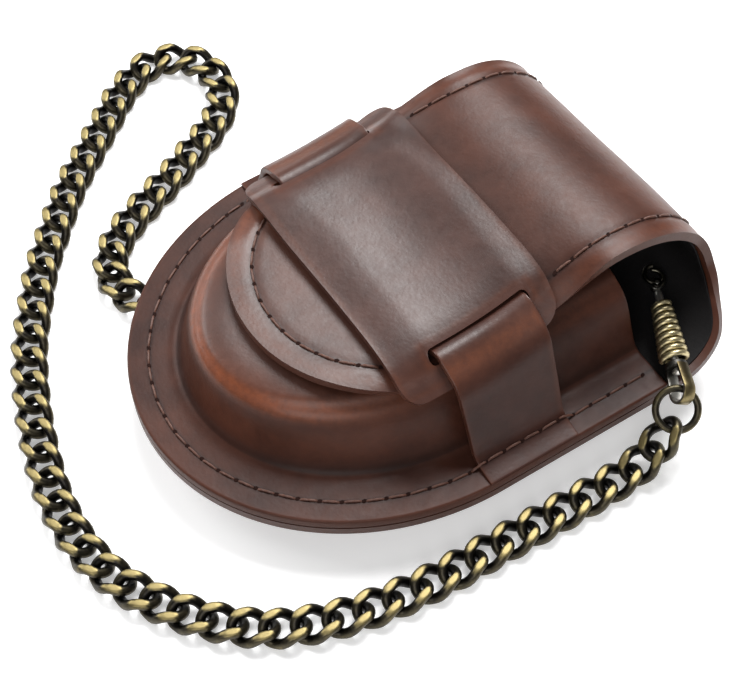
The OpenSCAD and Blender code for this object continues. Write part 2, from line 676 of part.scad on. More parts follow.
// conical spring as one tube: rings of points along the winding
coil_steps = 8;
coil_sides = 6;
coil_r0 = spring_od / 2 - spring_wire / 2;
coil_r1 = rod_d / 2 + spring_wire / 2 + 0.12;
coil_n = floor(spring_turns * coil_steps);
coil_x0 = spring_wire / 2 + 0.1;
coil_pitch = (spring_l - spring_wire - 0.2) / spring_turns;
echo(spring_gap = coil_pitch - spring_wire);
function coil_ring(i) = let (k = i / coil_n, r = coil_r0 + (coil_r1 - coil_r0) * k,
    a = 360 * i / coil_steps, x = coil_x0 + coil_pitch * i / coil_steps)
  [for (j = [0 : coil_sides - 1]) let (b = 360 * j / coil_sides,
    d = r + spring_wire / 2 * cos(b)) [x + spring_wire / 2 * sin(b), d * cos(a), d * sin(a)]];
coil_points = [for (i = [0 : coil_n]) for (p = coil_ring(i)) p];
coil_faces = concat(
  [[for (j = [0 : coil_sides - 1]) j]],
  [for (i = [0 : coil_n - 1]) for (j = [0 : coil_sides - 1]) let (a = i * coil_sides,
    k = (j + 1) % coil_sides) each [[a + j, a + coil_sides + j, a + coil_sides + k],
    [a + j, a + coil_sides + k, a + k]]],
  [[for (j = [coil_sides - 1 : -1 : 0]) coil_n * coil_sides + j]]);
module clasp_spring()
  color("goldenrod")
    placed()
      in_clasp()
        polyhedron(points = coil_points, faces = coil_faces);

// claws: half rings above one another, each with an eye on the cross pin
module claw()
  difference() {
    union() {
      cylinder(h = 0.8, r = pin_r + pin_gap + 0.5, $fn = fine);
      translate([claw_turn, 0, claw_r - 0.1])
        rotate([0, 0, 0])
          rotate_extrude(angle = 172, $fn = fine)
            translate([claw_turn, 0])
              circle(r = claw_r - 0.02, $fn = fine);
      translate([2 * claw_turn, 0, claw_r - 0.1])
        sphere(r = claw_r + hair, $fn = fine);
    }
    translate([0, 0, -cut])
      cylinder(h = 4, r = pin_r + pin_gap, $fn = fine);
  }
module claw_upper()
  color("goldenrod")
    placed()
      in_clasp()
        translate([rod_l, 0, 0.4])
          claw();

module claw_lower()
  color("goldenrod")
    placed()
      in_clasp()
        translate([rod_l, 0, -0.4])
          rotate([180, 0, 0])
            claw();

back_panel();
back_lining();
front_panel();
front_lining();
flap();
flap_lining();
keeper_band();
keeper_strap();
belt_loop();
flange_stitches();
flap_stitches();
roll_stitches();
loop_stitches();
chain_loop();
chain_near();
chain_front();
chain_far();
chain_tail();
jump_ring();
clasp_eye();
clasp_rod();
clasp_spring();
claw_upper();
claw_lower();
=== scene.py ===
from math import copysign, cos, exp, hypot, pi, radians, sin, sqrt, tau

import bmesh
import bpy
import numpy as np
from mathutils import Matrix, Vector, noise


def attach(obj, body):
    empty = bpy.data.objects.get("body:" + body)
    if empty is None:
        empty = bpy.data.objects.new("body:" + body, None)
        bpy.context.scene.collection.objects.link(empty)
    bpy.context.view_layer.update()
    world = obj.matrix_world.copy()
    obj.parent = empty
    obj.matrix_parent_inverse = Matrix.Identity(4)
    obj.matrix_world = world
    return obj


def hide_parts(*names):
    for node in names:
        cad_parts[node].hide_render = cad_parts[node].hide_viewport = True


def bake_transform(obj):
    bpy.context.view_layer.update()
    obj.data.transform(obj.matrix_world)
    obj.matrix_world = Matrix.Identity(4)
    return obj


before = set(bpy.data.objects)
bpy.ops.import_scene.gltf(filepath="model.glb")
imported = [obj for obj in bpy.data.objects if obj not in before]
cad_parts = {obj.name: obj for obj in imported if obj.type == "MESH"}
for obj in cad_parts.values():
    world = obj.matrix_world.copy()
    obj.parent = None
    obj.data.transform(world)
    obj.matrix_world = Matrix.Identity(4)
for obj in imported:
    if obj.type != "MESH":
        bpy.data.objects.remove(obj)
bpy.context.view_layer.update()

bpy.ops.object.select_all(action="DESELECT")

tableDrop = 10.3  # flange top to table, mm
middleShift = 3.75  # flap middle to the middle of the pouch, mm


def put(point):
    return Vector((point[0], point[1] - middleShift, point[2] + tableDrop)) / 1000


def drawn(place):  # the way back to the pattern
    return Vector((place[0] * 1000, place[1] * 1000 + middleShift, place[2] * 1000 - tableDrop))


def toLinear(code):  # sRGB hex to linear colour
    parts = [int(code[i:i + 2], 16) / 255 for i in (1, 3, 5)]
    return tuple(c / 12.92 if c < 0.04045 else ((c + 0.055) / 1.055) ** 2.4 for c in parts) + (1,)


# camera where the photograph was taken from, and three soft lamps
view = {"place": (0.15252, -0.09173, 0.25689), "focal": 81.61, "sensor": 36,
        "right": (0.53340077, 0.84537457, -0.02873076),
        "up": (-0.68680592, 0.4526763, 0.56866668),
        "back": (0.49374208, -0.28359479, 0.82206615)}
bpy.ops.object.camera_add()
camera = bpy.context.object
camera.name = "photoCamera"
camera.data.lens = view["focal"]
camera.data.sensor_width = view["sensor"]
camera.data.clip_start = 0.01
turnMatrix = Matrix((view["right"], view["up"], view["back"])).transposed().to_4x4()
camera.matrix_world = Matrix.Translation(view["place"]) @ turnMatrix
bpy.context.scene.camera = camera
bpy.context.scene.view_settings.view_transform = "Standard"

studio = {"aim": (0, 0, 0.015), "air": 0.22, "floorGlow": 0.33, "floorSize": 4}
lampSet = {
    "topPanel": {"place": (-0.3, 0.34, 0.72), "size": 0.42, "power": 10.2},
    "frontPanel": {"place": (0.5, -0.5, 0.6), "size": 0.6, "power": 3.3},
    "leftPanel": {"place": (-0.7, -0.35, 0.45), "size": 0.5, "power": 4.5},
}
for lampName, facts in lampSet.items():
    bpy.ops.object.light_add(type="AREA", location=facts["place"])
    lamp = bpy.context.object
    lamp.name = lampName
    lamp.data.size = facts["size"]
    lamp.data.energy = facts["power"]
    aim = Vector(studio["aim"]) - Vector(facts["place"])
    lamp.rotation_euler = aim.to_track_quat("-Z", "Y").to_euler()


def wire(tree, node, values):
    # a value is a number, a colour, a socket, or a node whose first live output is linked
    for socket, value in values.items():
        if isinstance(value, bpy.types.Node):
            value = next(output for output in value.outputs if output.enabled)
        if isinstance(value, bpy.types.NodeSocket):
            tree.links.new(value, node.inputs[socket])
        else:
            node.inputs[socket].default_value = value
    return node


def addNode(tree, kind, values=None, **settings):
    node = tree.nodes.new("ShaderNode" + kind)
    for key, value in settings.items():
        setattr(node, key, value)
    return wire(tree, node, values or {})


def freshMaterial(name):
    made = bpy.data.materials.new(name)
    made.use_nodes = True  # brings the shader and its output
    return made, made.node_tree, made.node_tree.nodes["Principled BSDF"]


world = bpy.data.worlds.new("studioAir")
bpy.context.scene.world = world
world.use_nodes = True
wire(world.node_tree, world.node_tree.nodes["Background"],
     {"Color": (1, 1, 1, 1), "Strength": studio["air"]})

# paper sweep: matt white, shown white to the camera and still catching the shadow
floorPaper, tree, paper = freshMaterial("whitePaperSweep")
rays = addNode(tree, "LightPath").outputs
seen = addNode(tree, "Math", {0: rays["Is Camera Ray"], 1: rays["Is Glossy Ray"]},
               operation="ADD")
shown = addNode(tree, "Math", {0: seen, 1: rays["Is Transmission Ray"]},
                operation="ADD", use_clamp=True)
glow = addNode(tree, "Math", {0: shown, 1: studio["floorGlow"]}, operation="MULTIPLY")
wire(tree, paper, {"Base Color": toLinear("#f4f4f4"), "Roughness": 0.9, "Specular IOR Level": 0.1,
                   "Emission Color": (1, 1, 1, 1), "Emission Strength": glow})
bpy.ops.mesh.primitive_grid_add(x_subdivisions=24, y_subdivisions=24, size=studio["floorSize"],
                                location=(0, 0, -0.0001))
floor = bpy.context.object
floor.name = "paperFloor"
floor.data.materials.append(floorPaper)
floor.select_set(False)
print("stage: camera, lamps and floor are in place")


def leatherFinish(name, code, darkCode, wornCode, edgeCode, gloss):
    # vegetable-tanned cowhide, dyed and oiled: cloudy dye, fine pores that break the sheen,
    # paler burnished edges and orange-brown where the hide was stretched or rubbed
    made, tree, skin = freshMaterial(name)
    spot = addNode(tree, "TexCoord").outputs["Object"]
    wear, edge, seam, matt = [addNode(tree, "Attribute", attribute_name=key)
                              .outputs["Fac"] for key in ("wear", "edge", "seam", "matt")]
    cloud = addNode(tree, "TexNoise",
                    {"Vector": spot, "Scale": 75.0, "Detail": 5.0, "Roughness": 0.62})  # 13 mm
    fibre = addNode(tree, "TexNoise",
                    {"Vector": spot, "Scale": 620.0, "Detail": 4.0, "Roughness": 0.7})  # 1.6 mm
    pores = addNode(tree, "TexVoronoi", {"Vector": spot, "Scale": 1700.0},
                    feature="SMOOTH_F1")  # 0.6 mm, drawn a little coarse so that it shows
    cloudShare = addNode(tree, "MapRange",
                         {"Value": cloud, "From Min": 0.35, "From Max": 0.68})
    fibreShare = addNode(tree, "MapRange", {"Value": fibre, "From Min": 0.3,
                         "From Max": 0.72, "To Min": 0.55, "To Max": 1.25})
    wearShare, edgeShare = [addNode(tree, "Math", {0: mark, 1: fibreShare},
                                    operation="MULTIPLY", use_clamp=True)
                            for mark in (wear, edge)]
    shade = toLinear(darkCode)
    # the last layer paints near-black shade into the stitch grooves and into the crease at the
    # dome's foot
    for share, layer in ((cloudShare, code), (wearShare, wornCode), (edgeShare, edgeCode),
                         (seam, "#1c0f0c")):
        shade = addNode(tree, "Mix", {0: share, 6: shade, 7: toLinear(layer)},
                        data_type="RGBA")
    poreGloss = addNode(tree, "Math", {0: fibre, 1: 0.22, 2: gloss - 0.11},
                        operation="MULTIPLY_ADD")
    wornGloss = addNode(tree, "Math", {0: wearShare, 1: -0.08, 2: poreGloss},
                        operation="MULTIPLY_ADD")
    poreHeight = addNode(tree, "Math", {0: pores, 1: 0.55, 2: fibre},
                         operation="MULTIPLY_ADD")
    grain = addNode(tree, "Bump",
                    {"Strength": 0.26, "Distance": 0.0001, "Height": poreHeight})
    crease = addNode(tree, "Bump", {"Strength": 0.12, "Distance": 0.0008,
                                              "Height": cloud, "Normal": grain})
    polish = addNode(tree, "MapRange", {"Value": matt, "To Min": 0.44, "To Max": 0.12})
    wire(tree, skin, {"Base Color": shade, "Roughness": wornGloss, "Specular IOR Level": polish,
                      "Normal": crease})
    return made


def plainFinish(name, darkCode, lightCode, blotScale, blotDetail, rough, shine):
    # a dull two-tone surface for nap, ply or torn fibre to be added to
    made, tree, body = freshMaterial(name)
    spot = addNode(tree, "TexCoord").outputs["Object"]
    blot = addNode(tree, "TexNoise",
                   {"Vector": spot, "Scale": blotScale, "Detail": blotDetail})
    shade = addNode(tree, "Mix",
                    {0: blot, 6: toLinear(darkCode), 7: toLinear(lightCode)}, data_type="RGBA")
    wire(tree, body, {"Base Color": shade, "Roughness": rough, "Specular IOR Level": shine})
    return made, tree, body, spot


def metalFinish(name, darkCode, midCode, brightCode, glossDark, glossBright, blotScale=260.0):
    # plated wire: dark patina kept in the hollows, rubbed bright on what stands out
    made, tree, body = freshMaterial(name)
    spot = addNode(tree, "TexCoord").outputs["Object"]
    rub = addNode(tree, "Attribute", attribute_name="rub").outputs["Fac"]
    blot = addNode(tree, "TexNoise",
                   {"Vector": spot, "Scale": blotScale, "Detail": 5.0, "Roughness": 0.65})
    pits = addNode(tree, "TexNoise",
                   {"Vector": spot, "Scale": 2400.0, "Detail": 2.0})  # 0.4 mm tumbling marks
    ragged = addNode(tree, "Math", {0: blot, 1: 0.9, 2: -0.45},
                     operation="MULTIPLY_ADD")
    share = addNode(tree, "Math", {0: rub, 1: ragged}, operation="ADD", use_clamp=True)
    shade = toLinear(darkCode)
    for low, high, code in ((0.12, 0.5, midCode), (0.45, 0.95, brightCode)):
        layer = addNode(tree, "MapRange",
                        {"Value": share, "From Min": low, "From Max": high})
        shade = addNode(tree, "Mix", {0: layer, 6: shade, 7: toLinear(code)},
                        data_type="RGBA")
    dull = addNode(tree, "MapRange",
                   {"Value": share, "To Min": glossDark, "To Max": glossBright})
    rough = addNode(tree, "Bump",
                    {"Strength": 0.25, "Distance": 0.00005, "Height": pits})
    wire(tree, body, {"Base Color": shade, "Metallic": 1.0, "Roughness": dull, "Normal": rough})
    return made


cowhide = leatherFinish("oiledCowhide", "#4b2c22", "#321c16", "#763f26", "#4a2c22", 0.42)
strapHide = leatherFinish("oiledStrapHide", "#452a23", "#2e1b17", "#623520", "#472b23", 0.4)
chainBrass = metalFinish("antiquedBrass", "#2a2826", "#4f4939", "#8a7d56", 0.36, 0.5, 520.0)
claspSteel = metalFinish("nickelPlatedSteel", "#4a4844", "#a09d96", "#dedbd3", 0.42, 0.34)
springBrass = metalFinish("brightSpringBrass", "#4a412e", "#8a7d59", "#bdb08a", 0.38, 0.36)
# brass for the claws, painted dark with the shade that falls on them inside the pocket
clawShadeBrass = metalFinish("clawBrassPaintedShade", "#161412", "#262320", "#8c8776", 0.35, 0.25)

# split leather dyed black and painted darker still with the shade inside the pocket: matt, with a
# short brushed nap of 0.8 mm
lining, tree, body, spot = plainFinish("blackLiningWithShade", "#070606", "#151213", 120.0, 2.0,
                                       0.65, 0.2)
nap = addNode(tree, "TexNoise",
              {"Vector": spot, "Scale": 1300.0, "Detail": 4.0, "Roughness": 0.7})
dull = addNode(tree, "Math", {0: nap, 1: 0.3, 2: 0.5}, operation="MULTIPLY_ADD")
fluff = addNode(tree, "Bump", {"Strength": 0.5, "Distance": 0.00015, "Height": nap})
wire(tree, body, {"Roughness": dull, "Normal": fluff})

# waxed polyester thread, twisted: the ply shows as slanted ridges
thread, tree, body, spot = plainFinish("waxedThread", "#3a221b", "#6d483a", 900.0, 3.0, 0.5, 0.4)
ply = addNode(tree, "TexWave",
              {"Vector": spot, "Scale": 420.0, "Distortion": 1.5, "Detail": 2.0},
              bands_direction="DIAGONAL").outputs["Fac"]
twist = addNode(tree, "Bump", {"Strength": 0.6, "Distance": 0.0001, "Height": ply})
wire(tree, body, {"Normal": twist})

# awl hole: raw torn hide, painted with the shade inside the hole
awlHole = plainFinish("awlHole", "#120806", "#2a1611", 1500.0, 2.0, 0.85, 0.1)[0]
print("stage: finishes are made")


def only(piece):
    bpy.ops.object.select_all(action="DESELECT")
    piece.select_set(True)
    bpy.context.view_layer.objects.active = piece


def applied(piece, kind, **settings):
    only(piece)
    modifier = piece.modifiers.new(kind.lower(), kind)
    for key, value in settings.items():
        setattr(modifier, key, value)
    bpy.ops.object.modifier_apply(modifier=modifier.name)


def smoothed(piece, angle=60):
    only(piece)
    bpy.ops.object.shade_smooth_by_angle(angle=radians(angle))
    piece.select_set(False)


def gridPiece(name, across, along, place, facing, cut=None):
    # a grid primitive laid on a form: place takes the two grid values, facing is a spot and
    # the way the face there looks, and cut tells which faces are taken out
    lastX, lastY = len(across) - 1, len(along) - 1
    bpy.ops.mesh.primitive_grid_add(x_subdivisions=lastX, y_subdivisions=lastY, size=2)
    piece = bpy.context.object
    piece.name = name
    only(piece)
    if cut:
        bpy.ops.object.mode_set(mode="EDIT")
        bpy.ops.mesh.select_all(action="DESELECT")
        bpy.ops.object.mode_set(mode="OBJECT")
        for face in piece.data.polygons:
            i, j = (face.center.x + 1) / 2 * lastX, (face.center.y + 1) / 2 * lastY
            face.select = cut(float(np.interp(i, range(lastX + 1), across)),
                              float(np.interp(j, range(lastY + 1), along)))
    for vertex in piece.data.vertices:
        i = round((vertex.co.x + 1) / 2 * lastX)
        j = round((vertex.co.y + 1) / 2 * lastY)
        vertex.co = put(place(across[i], along[j]))
    bpy.ops.object.mode_set(mode="EDIT")
    if cut:
        bpy.ops.mesh.delete(type="FACE")
    bpy.ops.mesh.select_all(action="SELECT")
    bpy.ops.mesh.remove_doubles(threshold=0.00002)
    bpy.ops.object.mode_set(mode="OBJECT")
    spot, way = put(facing[0]), Vector(facing[1])
    nearest = min(piece.data.polygons, key=lambda face: (face.center - spot).length)
    if nearest.normal.dot(way) < 0:
        piece.data.flip_normals()
    return piece


def leatherSheet(piece, thickness, rim, weights=None, glued=None):
    # gives a surface its thickness and rounds its cut edges. weights thins the hide by place,
    # and glued tells where an edge meets the next layer and is hardly rounded
    thinning = {}
    if weights:
        group = piece.vertex_groups.new(name="thick")
        for vertex in piece.data.vertices:
            group.add([vertex.index], weights(drawn(vertex.co)), "REPLACE")
        thinning = {"vertex_group": "thick", "thickness_vertex_group": 0}
    applied(piece, "SOLIDIFY", thickness=thickness / 1000, offset=-1, **thinning)
    sheet = bmesh.new()
    sheet.from_mesh(piece.data)
    weight = sheet.edges.layers.float.new("bevel_weight_edge")
    for edge in sheet.edges:
        if edge.calc_face_angle(0) > radians(50):
            middle = drawn((edge.verts[0].co + edge.verts[1].co) / 2)
            edge[weight] = 0.2 if glued and glued(middle) else 1.0
    sheet.to_mesh(piece.data)
    sheet.free()
    applied(piece, "BEVEL", width=rim / 1000, segments=2, limit_method="WEIGHT")
    applied(piece, "SUBSURF", levels=1, render_levels=1)
    piece.vertex_groups.clear()
    smoothed(piece)


def painted(piece, **painters):
    # stores a value per point for the finish to read, such as wear
    for name, painter in painters.items():
        values = [painter(drawn(v.co), v.normal) for v in piece.data.vertices]
        piece.data.attributes.new(name, "FLOAT", "POINT").data.foreach_set("value", values)


def finishWith(piece, materials, body, nodes):
    for material in materials:
        piece.data.materials.append(material)
    if body == "stretch":  # the hide between the pouch and the sliding flap gives
        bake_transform(piece)
    else:
        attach(piece, body)
    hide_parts(*nodes)
    print("stage:", piece.name, "is made,", len(piece.data.polygons), "faces")


def bell(value, middle, width):
    return exp(-((value - middle) / width) ** 2)


def clamp(value, low=0.0, high=1.0):
    return max(low, min(high, value))


def softTable(rows, blur):
    # a smooth curve through a few measured rows
    xs = np.arange(rows[0][0] - 4 * blur, rows[-1][0] + 4 * blur, blur / 8)
    ys = np.interp(xs, [r[0] for r in rows], [r[1] for r in rows])
    kernel = np.exp(-0.5 * (np.arange(-24, 25) / 8) ** 2)
    ys = np.convolve(np.pad(ys, 24, mode="edge"), kernel / kernel.sum(), mode="valid")
    return lambda x: float(np.interp(x, xs, ys))


def spaced(*knots):
    # grid values through the given knots: each entry is (value, steps up to the next)
    values = []
    for (start, steps), (end, _) in zip(knots[:-1], knots[1:]):
        values += list(np.linspace(start, end, steps + 1)[:-1])
    return values + [knots[-1][0]]


def ripple(x, y, scale, amount, seed=0.0):  # slow unevenness of hand-worked leather
    return amount * noise.noise(Vector((x / scale, y / scale, seed)))


def turned(run, up):  # a turn whose X is the run and whose Z is nearest to up
    side = Vector(up).cross(run).normalized()
    return Matrix((run, side, run.cross(side))).transposed().to_4x4()


def sampler(points, values=None):
    # reads the points, or values that belong to them, by the distance run along the points
    run = np.concatenate([[0], np.cumsum([(q - p).length for p, q in zip(points, points[1:])])])
    columns = np.array([tuple(v) for v in values or points]).T
    return lambda s: Vector([float(np.interp(s, run, column)) for column in columns]), run[-1]


def rounded(count, a, b=None):  # points round a circle or ellipse
    b = a if b is None else b
    return [(a * cos(tau * j / count), b * sin(tau * j / count))
            for j in range(count)]


def skinned(mesh, rows, ring=False):
    # faces between closed rows of points. A ring joins the last row to the first, and anything
    # else gets its two ends closed
    loops = [[mesh.verts.new(point) for point in row] for row in rows]
    count = len(loops[0])
    faces = [mesh.faces.new((a[j], b[j], b[(j + 1) % count], a[(j + 1) % count]))
             for a, b in zip(loops, loops[1:] + loops[:1] * ring) for j in range(count)]
    if not ring:
        faces += [mesh.faces.new(loops[0]), mesh.faces.new(loops[-1])]
    for face in faces:
        face.normal_update()
    bmesh.ops.recalc_face_normals(mesh, faces=faces)  # all of them outward
    return faces


def lathe(mesh, rows, count=20, upright=False, ring=False, middle=0):
    # turns rows of distance and radius about X, or about Z when upright
    skinned(mesh, [[(middle + a, b, step) if upright else (step, a, b)
                    for a, b in rounded(count, *radius)] for step, *radius in rows], ring)


def tube(mesh, centres, radius, sides):
    # wire along a line of points, its radius read by the share of the way
    rows, side, last = [], None, len(centres) - 1
    for i, centre in enumerate(centres):
        run = (centres[min(i + 1, last)] - centres[max(i - 1, 0)]).normalized()
        side = side or run.orthogonal().normalized()
        side = (side - side.project(run)).normalized()
        rows.append([centre + a * side + b * run.cross(side)
                     for a, b in rounded(sides, radius(i / last))])
    skinned(mesh, rows)


def meshPiece(name, mesh, rubs=None, angle=None):
    data = bpy.data.meshes.new(name)
    mesh.to_mesh(data)
    mesh.free()
    piece = bpy.data.objects.new(name, data)
    bpy.context.scene.collection.objects.link(piece)
    if rubs:
        data.attributes.new("rub", "FLOAT", "POINT").data.foreach_set("value", rubs)
    for polygon in data.polygons:
        polygon.use_smooth = True
    if angle:
        smoothed(piece, angle)
    return piece


# the pouch's measured form, mm
pouch = {"halfWidth": 40, "nose": 45.5, "mouth": 34.5, "frontThick": 1.8, "backThick": 2.0,
         "domeMargin": 9.8, "lean": 0.6, "seamIn": 3.9}
roll = {"crestY": 33, "lowY": 36, "back": 53, "turnZ": 7, "crestZ": 23.4, "lowDepth": 10.8,
        "farNarrow": 0.11, "farShort": 3.0,
        "flare": [(-3.8, 1), (0, 0.78), (3.3, 0.38), (8, 0.12), (14, 0), (40, 0)]}
flap = {"halfWidth": 26, "nose": 24.8, "noseReach": 25.4, "restZ": 15.8, "landY": -8,
        "seamIn": 4.4, "sag": [(-4, 7.4), (0, 5.06), (5.6, 1.7), (8.5, 0.6), (13, 0), (60, 0)]}
backZ = -pouch["frontThick"] - pouch["backThick"]
domeA = pouch["halfWidth"] - pouch["domeMargin"]
domeB = pouch["nose"] - pouch["domeMargin"]
flareCurve = softTable(roll["flare"], 0.8)
sagCurve = softTable(flap["sag"], 0.9)


def rollWidth(z):
    return flap["halfWidth"] + (pouch["halfWidth"] - flap["halfWidth"]) * flareCurve(z)


def rise(y):
    t = clamp((y - flap["landY"]) / (roll["crestY"] - flap["landY"]))
    return (roll["crestZ"] - flap["restZ"]) * ((1 - cos(pi * t)) / 2) ** 2


def flapTop(x, y):  # the flap hangs over the pocket's walls, and less toward the roll
    hold = (1 + cos(pi * clamp((y - 20) / (roll["crestY"] - 22)))) / 2
    return flap["restZ"] + rise(y) - sagCurve(domeA - abs(x)) * hold


def outlinePoint(a, b, yEnd, k):
    # k runs -1.6..1.6 along the outline: straight side, rounded nose, straight side
    if abs(k) <= 1:
        return a * sin(k * pi / 2), -b * cos(k * pi / 2)
    return copysign(a, k), yEnd * (abs(k) - 1) / 0.6


def nosePoint(u, v):
    # square to rounded end: v 0 is the straight row, v 1 the tip
    return u * sqrt(1 - v * v / 2), -v * sqrt(1 - u * u / 2)


# chain first, because its lay decides the room that the model takes
chain = {"linkLength": 9.3, "linkWidth": 7.2, "wire": 1.85, "pitch": 5.25, "twist": -34,
         "filed": 1.76, "worn": 0.08, "ringOuter": 8.6, "ringWire": 1.3,
         "hang": (46.3, 30.3, -2.7), "hangZ": -6.9, "lieZ": -7.945, "lieDrop": 2.345,
         "links": 60, "firstRoll": 6, "around": 44, "sides": 16, "hook": 2.1}
chainLay = [  # metres on the table, from the ring round to the loop under the pouch
    (0.0463, 0.0303), (0.047, 0.0246), (0.0471, 0.0192), (0.047, 0.0145), (0.0466, 0.0043),
    (0.0463, -0.0058), (0.046, -0.0166), (0.0448, -0.0268), (0.0425, -0.036), (0.0383, -0.045),
    (0.0317, -0.0526), (0.0245, -0.058), (0.0163, -0.0622), (0.0071, -0.0642),
    (-0.0031, -0.0639), (-0.0137, -0.0616), (-0.0239, -0.0583), (-0.0341, -0.0538),
    (-0.0418, -0.0491), (-0.0495, -0.0439), (-0.0569, -0.0375), (-0.0643, -0.0306),
    (-0.0696, -0.0244), (-0.0754, -0.0174), (-0.0815, -0.0098), (-0.0848, -0.0022),
    (-0.0826, 0.0046), (-0.0763, 0.0076), (-0.069, 0.0064), (-0.0634, 0.0014),
    (-0.0597, -0.0051), (-0.0562, -0.0116), (-0.0535, -0.0176), (-0.0508, -0.0234),
    (-0.0474, -0.0288), (-0.0426, -0.0328), (-0.037, -0.0336), (-0.032, -0.0316),
    (-0.0272, -0.0282)]
clasp = {"place": (38.2, 37.1, 1.9), "yaw": 155.2, "rise": 6.5, "eyeX": -5.2, "eyeOuter": 4.9,
         "eyeStrip": 0.6, "eyeWide": 2.2, "eyeRoll": 26, "plate": 1.0, "plateR": 1.95,
         "springLength": 12.4, "turns": 8.5, "turnSteps": 22, "springWire": 1.12,
         "springOuter": 5.6, "springEnd": 3.9, "rodReach": 3.4, "rod": 1.5, "clawLength": 4.6,
         "clawWire": 0.47}
claspTurn = (Matrix.Translation(clasp["place"])
             @ Matrix.Rotation(radians(clasp["yaw"]), 4, "Z")
             @ Matrix.Rotation(-radians(clasp["rise"]), 4, "Y"))
ringRadius = (chain["ringOuter"] - chain["ringWire"]) / 2
ringTop = claspTurn @ Vector((clasp["eyeX"], 0, 0)) + Vector((0, 0.3, 0.15))
ringRun = (Vector(chain["hang"]) - ringTop).normalized()
ringLow = ringTop + 2 * ringRadius * ringRun
route = [ringLow] + [Vector((x * 1000, y * 1000, chain["lieZ"])) for x, y in chainLay[1:]]
route[1].z = chain["hangZ"]
knots = [2 * route[0] - route[1]] + route + [2 * route[-1] - route[-2]]
chainLine = []
for a, b, c, d in zip(knots, knots[1:], knots[2:], knots[3:]):
    for n in range(6):
        t = n / 6
        p = 0.5 * (2 * b + (c - a) * t + (2 * a - 5 * b + 4 * c - d) * t * t
                   + (3 * b - a - 3 * c + d) * t ** 3)
        chainLine.append(Vector((p.x, p.y, max(p.z, chain["lieZ"]))))
chainLine.append(route[-1])
chainAt, chainRun = sampler(chainLine)


def linkPoint(angle, length, width):
    # middle line of one curb link: a stretched ring whose ends turn opposite ways
    turnR = width / 2
    bar = length / 2 - turnR
    x = bar * clamp(cos(angle) * 1.6, -1, 1) + turnR * cos(angle)
    y = turnR * sin(angle)
    share = clamp(x / (bar + 1.5), -1, 1)
    bend = radians(chain["twist"]) * (1.5 * share - 0.5 * share ** 3)
    return Vector((x, y * cos(bend), y * sin(bend)))


def makeLink(mesh, place):
    length, width = (chain[key] - chain["wire"] for key in ("linkLength", "linkWidth"))
    around = chain["around"]
    centres = [linkPoint(tau * i / around, length, width) for i in range(around)]
    rows, rubs = [], []
    for i, centre in enumerate(centres):
        run = (centres[(i + 1) % around] - centres[i - 1]).normalized()
        out = (centre - centre.project(run)).normalized()
        up = run.cross(out).normalized()
        row = []
        for a, b in rounded(chain["sides"], 1):
            # rolled wire, a little flat on its outer face
            radius = chain["wire"] / 2 * (1 - chain["worn"] * max(a, 0) ** 4)
            spot = centre + out * (a * radius) + up * (b * radius)
            # both faces of a curb chain are filed flat, which bares the brass there
            bare = clamp((abs(spot.z) - chain["filed"] + 0.12) / 0.16)
            spot.z = clamp(spot.z, -chain["filed"], chain["filed"])
            row.append(put(place @ spot))
            rubs.append(clamp(0.2 + 0.75 * bare + 0.22 * a))
        rows.append(row)
    skinned(mesh, rows, ring=True)
    return rubs


chainMesh, chainRubs = bmesh.new(), []
for i in range(chain["links"]):
    s = chain["hook"] + i * chain["pitch"]
    middle, run = chainAt(s), chainAt(s + chain["pitch"] / 2) - chainAt(s - chain["pitch"] / 2)
    middle.z -= (chain["lieDrop"] - chain["filed"]) * clamp((i - 1) / 3)  # filed links lie lower
    place = Matrix.Translation(middle) @ turned(run.normalized(), (0, 0, 1))
    if i == 0:
        place = place @ Matrix.Rotation(radians(chain["firstRoll"]), 4, "X")
    chainRubs += makeLink(chainMesh, place)
curbChain = meshPiece("curbChain", chainMesh, chainRubs)
finishWith(curbChain, [chainBrass], "pouch", ("chain_near", "chain_front", "chain_far",
                                              "chain_tail"))
chainEnd = chain["hook"] + (chain["links"] - 1) * chain["pitch"]
endPoint = chainAt(chainEnd)
endRun = (endPoint - chainAt(chainEnd - 3)).normalized()
print("stage: chain of", chain["links"], "links, run", round(float(chainRun), 1), "mm")

# jump ring, spun from a small circle
bpy.ops.mesh.primitive_circle_add(vertices=14, radius=chain["ringWire"] / 2,
                                  location=(ringRadius, 0, 0), rotation=(pi / 2, 0, 0))
jumpRing = bpy.context.object
jumpRing.name = "jumpRing"
bpy.ops.object.transform_apply(location=True, rotation=True, scale=True)
bpy.ops.object.mode_set(mode="EDIT")
bpy.ops.mesh.select_all(action="SELECT")
bpy.ops.mesh.spin(steps=56, angle=tau, center=(0, 0, 0), axis=(0, 0, 1))
bpy.ops.mesh.select_all(action="SELECT")
bpy.ops.mesh.remove_doubles(threshold=0.001)
bpy.ops.mesh.normals_make_consistent(inside=False)
bpy.ops.object.mode_set(mode="OBJECT")
ringPlace = (Matrix.Translation((ringTop + ringLow) / 2)
             @ turned((ringLow - ringTop).normalized(), (0.522, -0.309, 0.795)))
ringRubs = [clamp(0.35 + 0.35 * (hypot(v.co.x, v.co.y) - ringRadius))
            for v in jumpRing.data.vertices]
jumpRing.data.attributes.new("rub", "FLOAT", "POINT").data.foreach_set("value", ringRubs)
for vertex in jumpRing.data.vertices:
    vertex.co = put(ringPlace @ vertex.co)
smoothed(jumpRing)
finishWith(jumpRing, [chainBrass], "pouch", ("jump_ring",))


# clasp: eye bent from strip, conical spring on its rod, two half-ring claws
def claspPiece(name, mesh, materials, body, nodes, rub, place=claspTurn):
    bpy.ops.object.select_all(action="DESELECT")
    rubs = [clamp(rub(v.co)) for v in mesh.verts]
    for vertex in mesh.verts:
        vertex.co = put(place @ vertex.co)
    piece = meshPiece(name, mesh, rubs, angle=40)
    finishWith(piece, materials, body, nodes)
    return piece
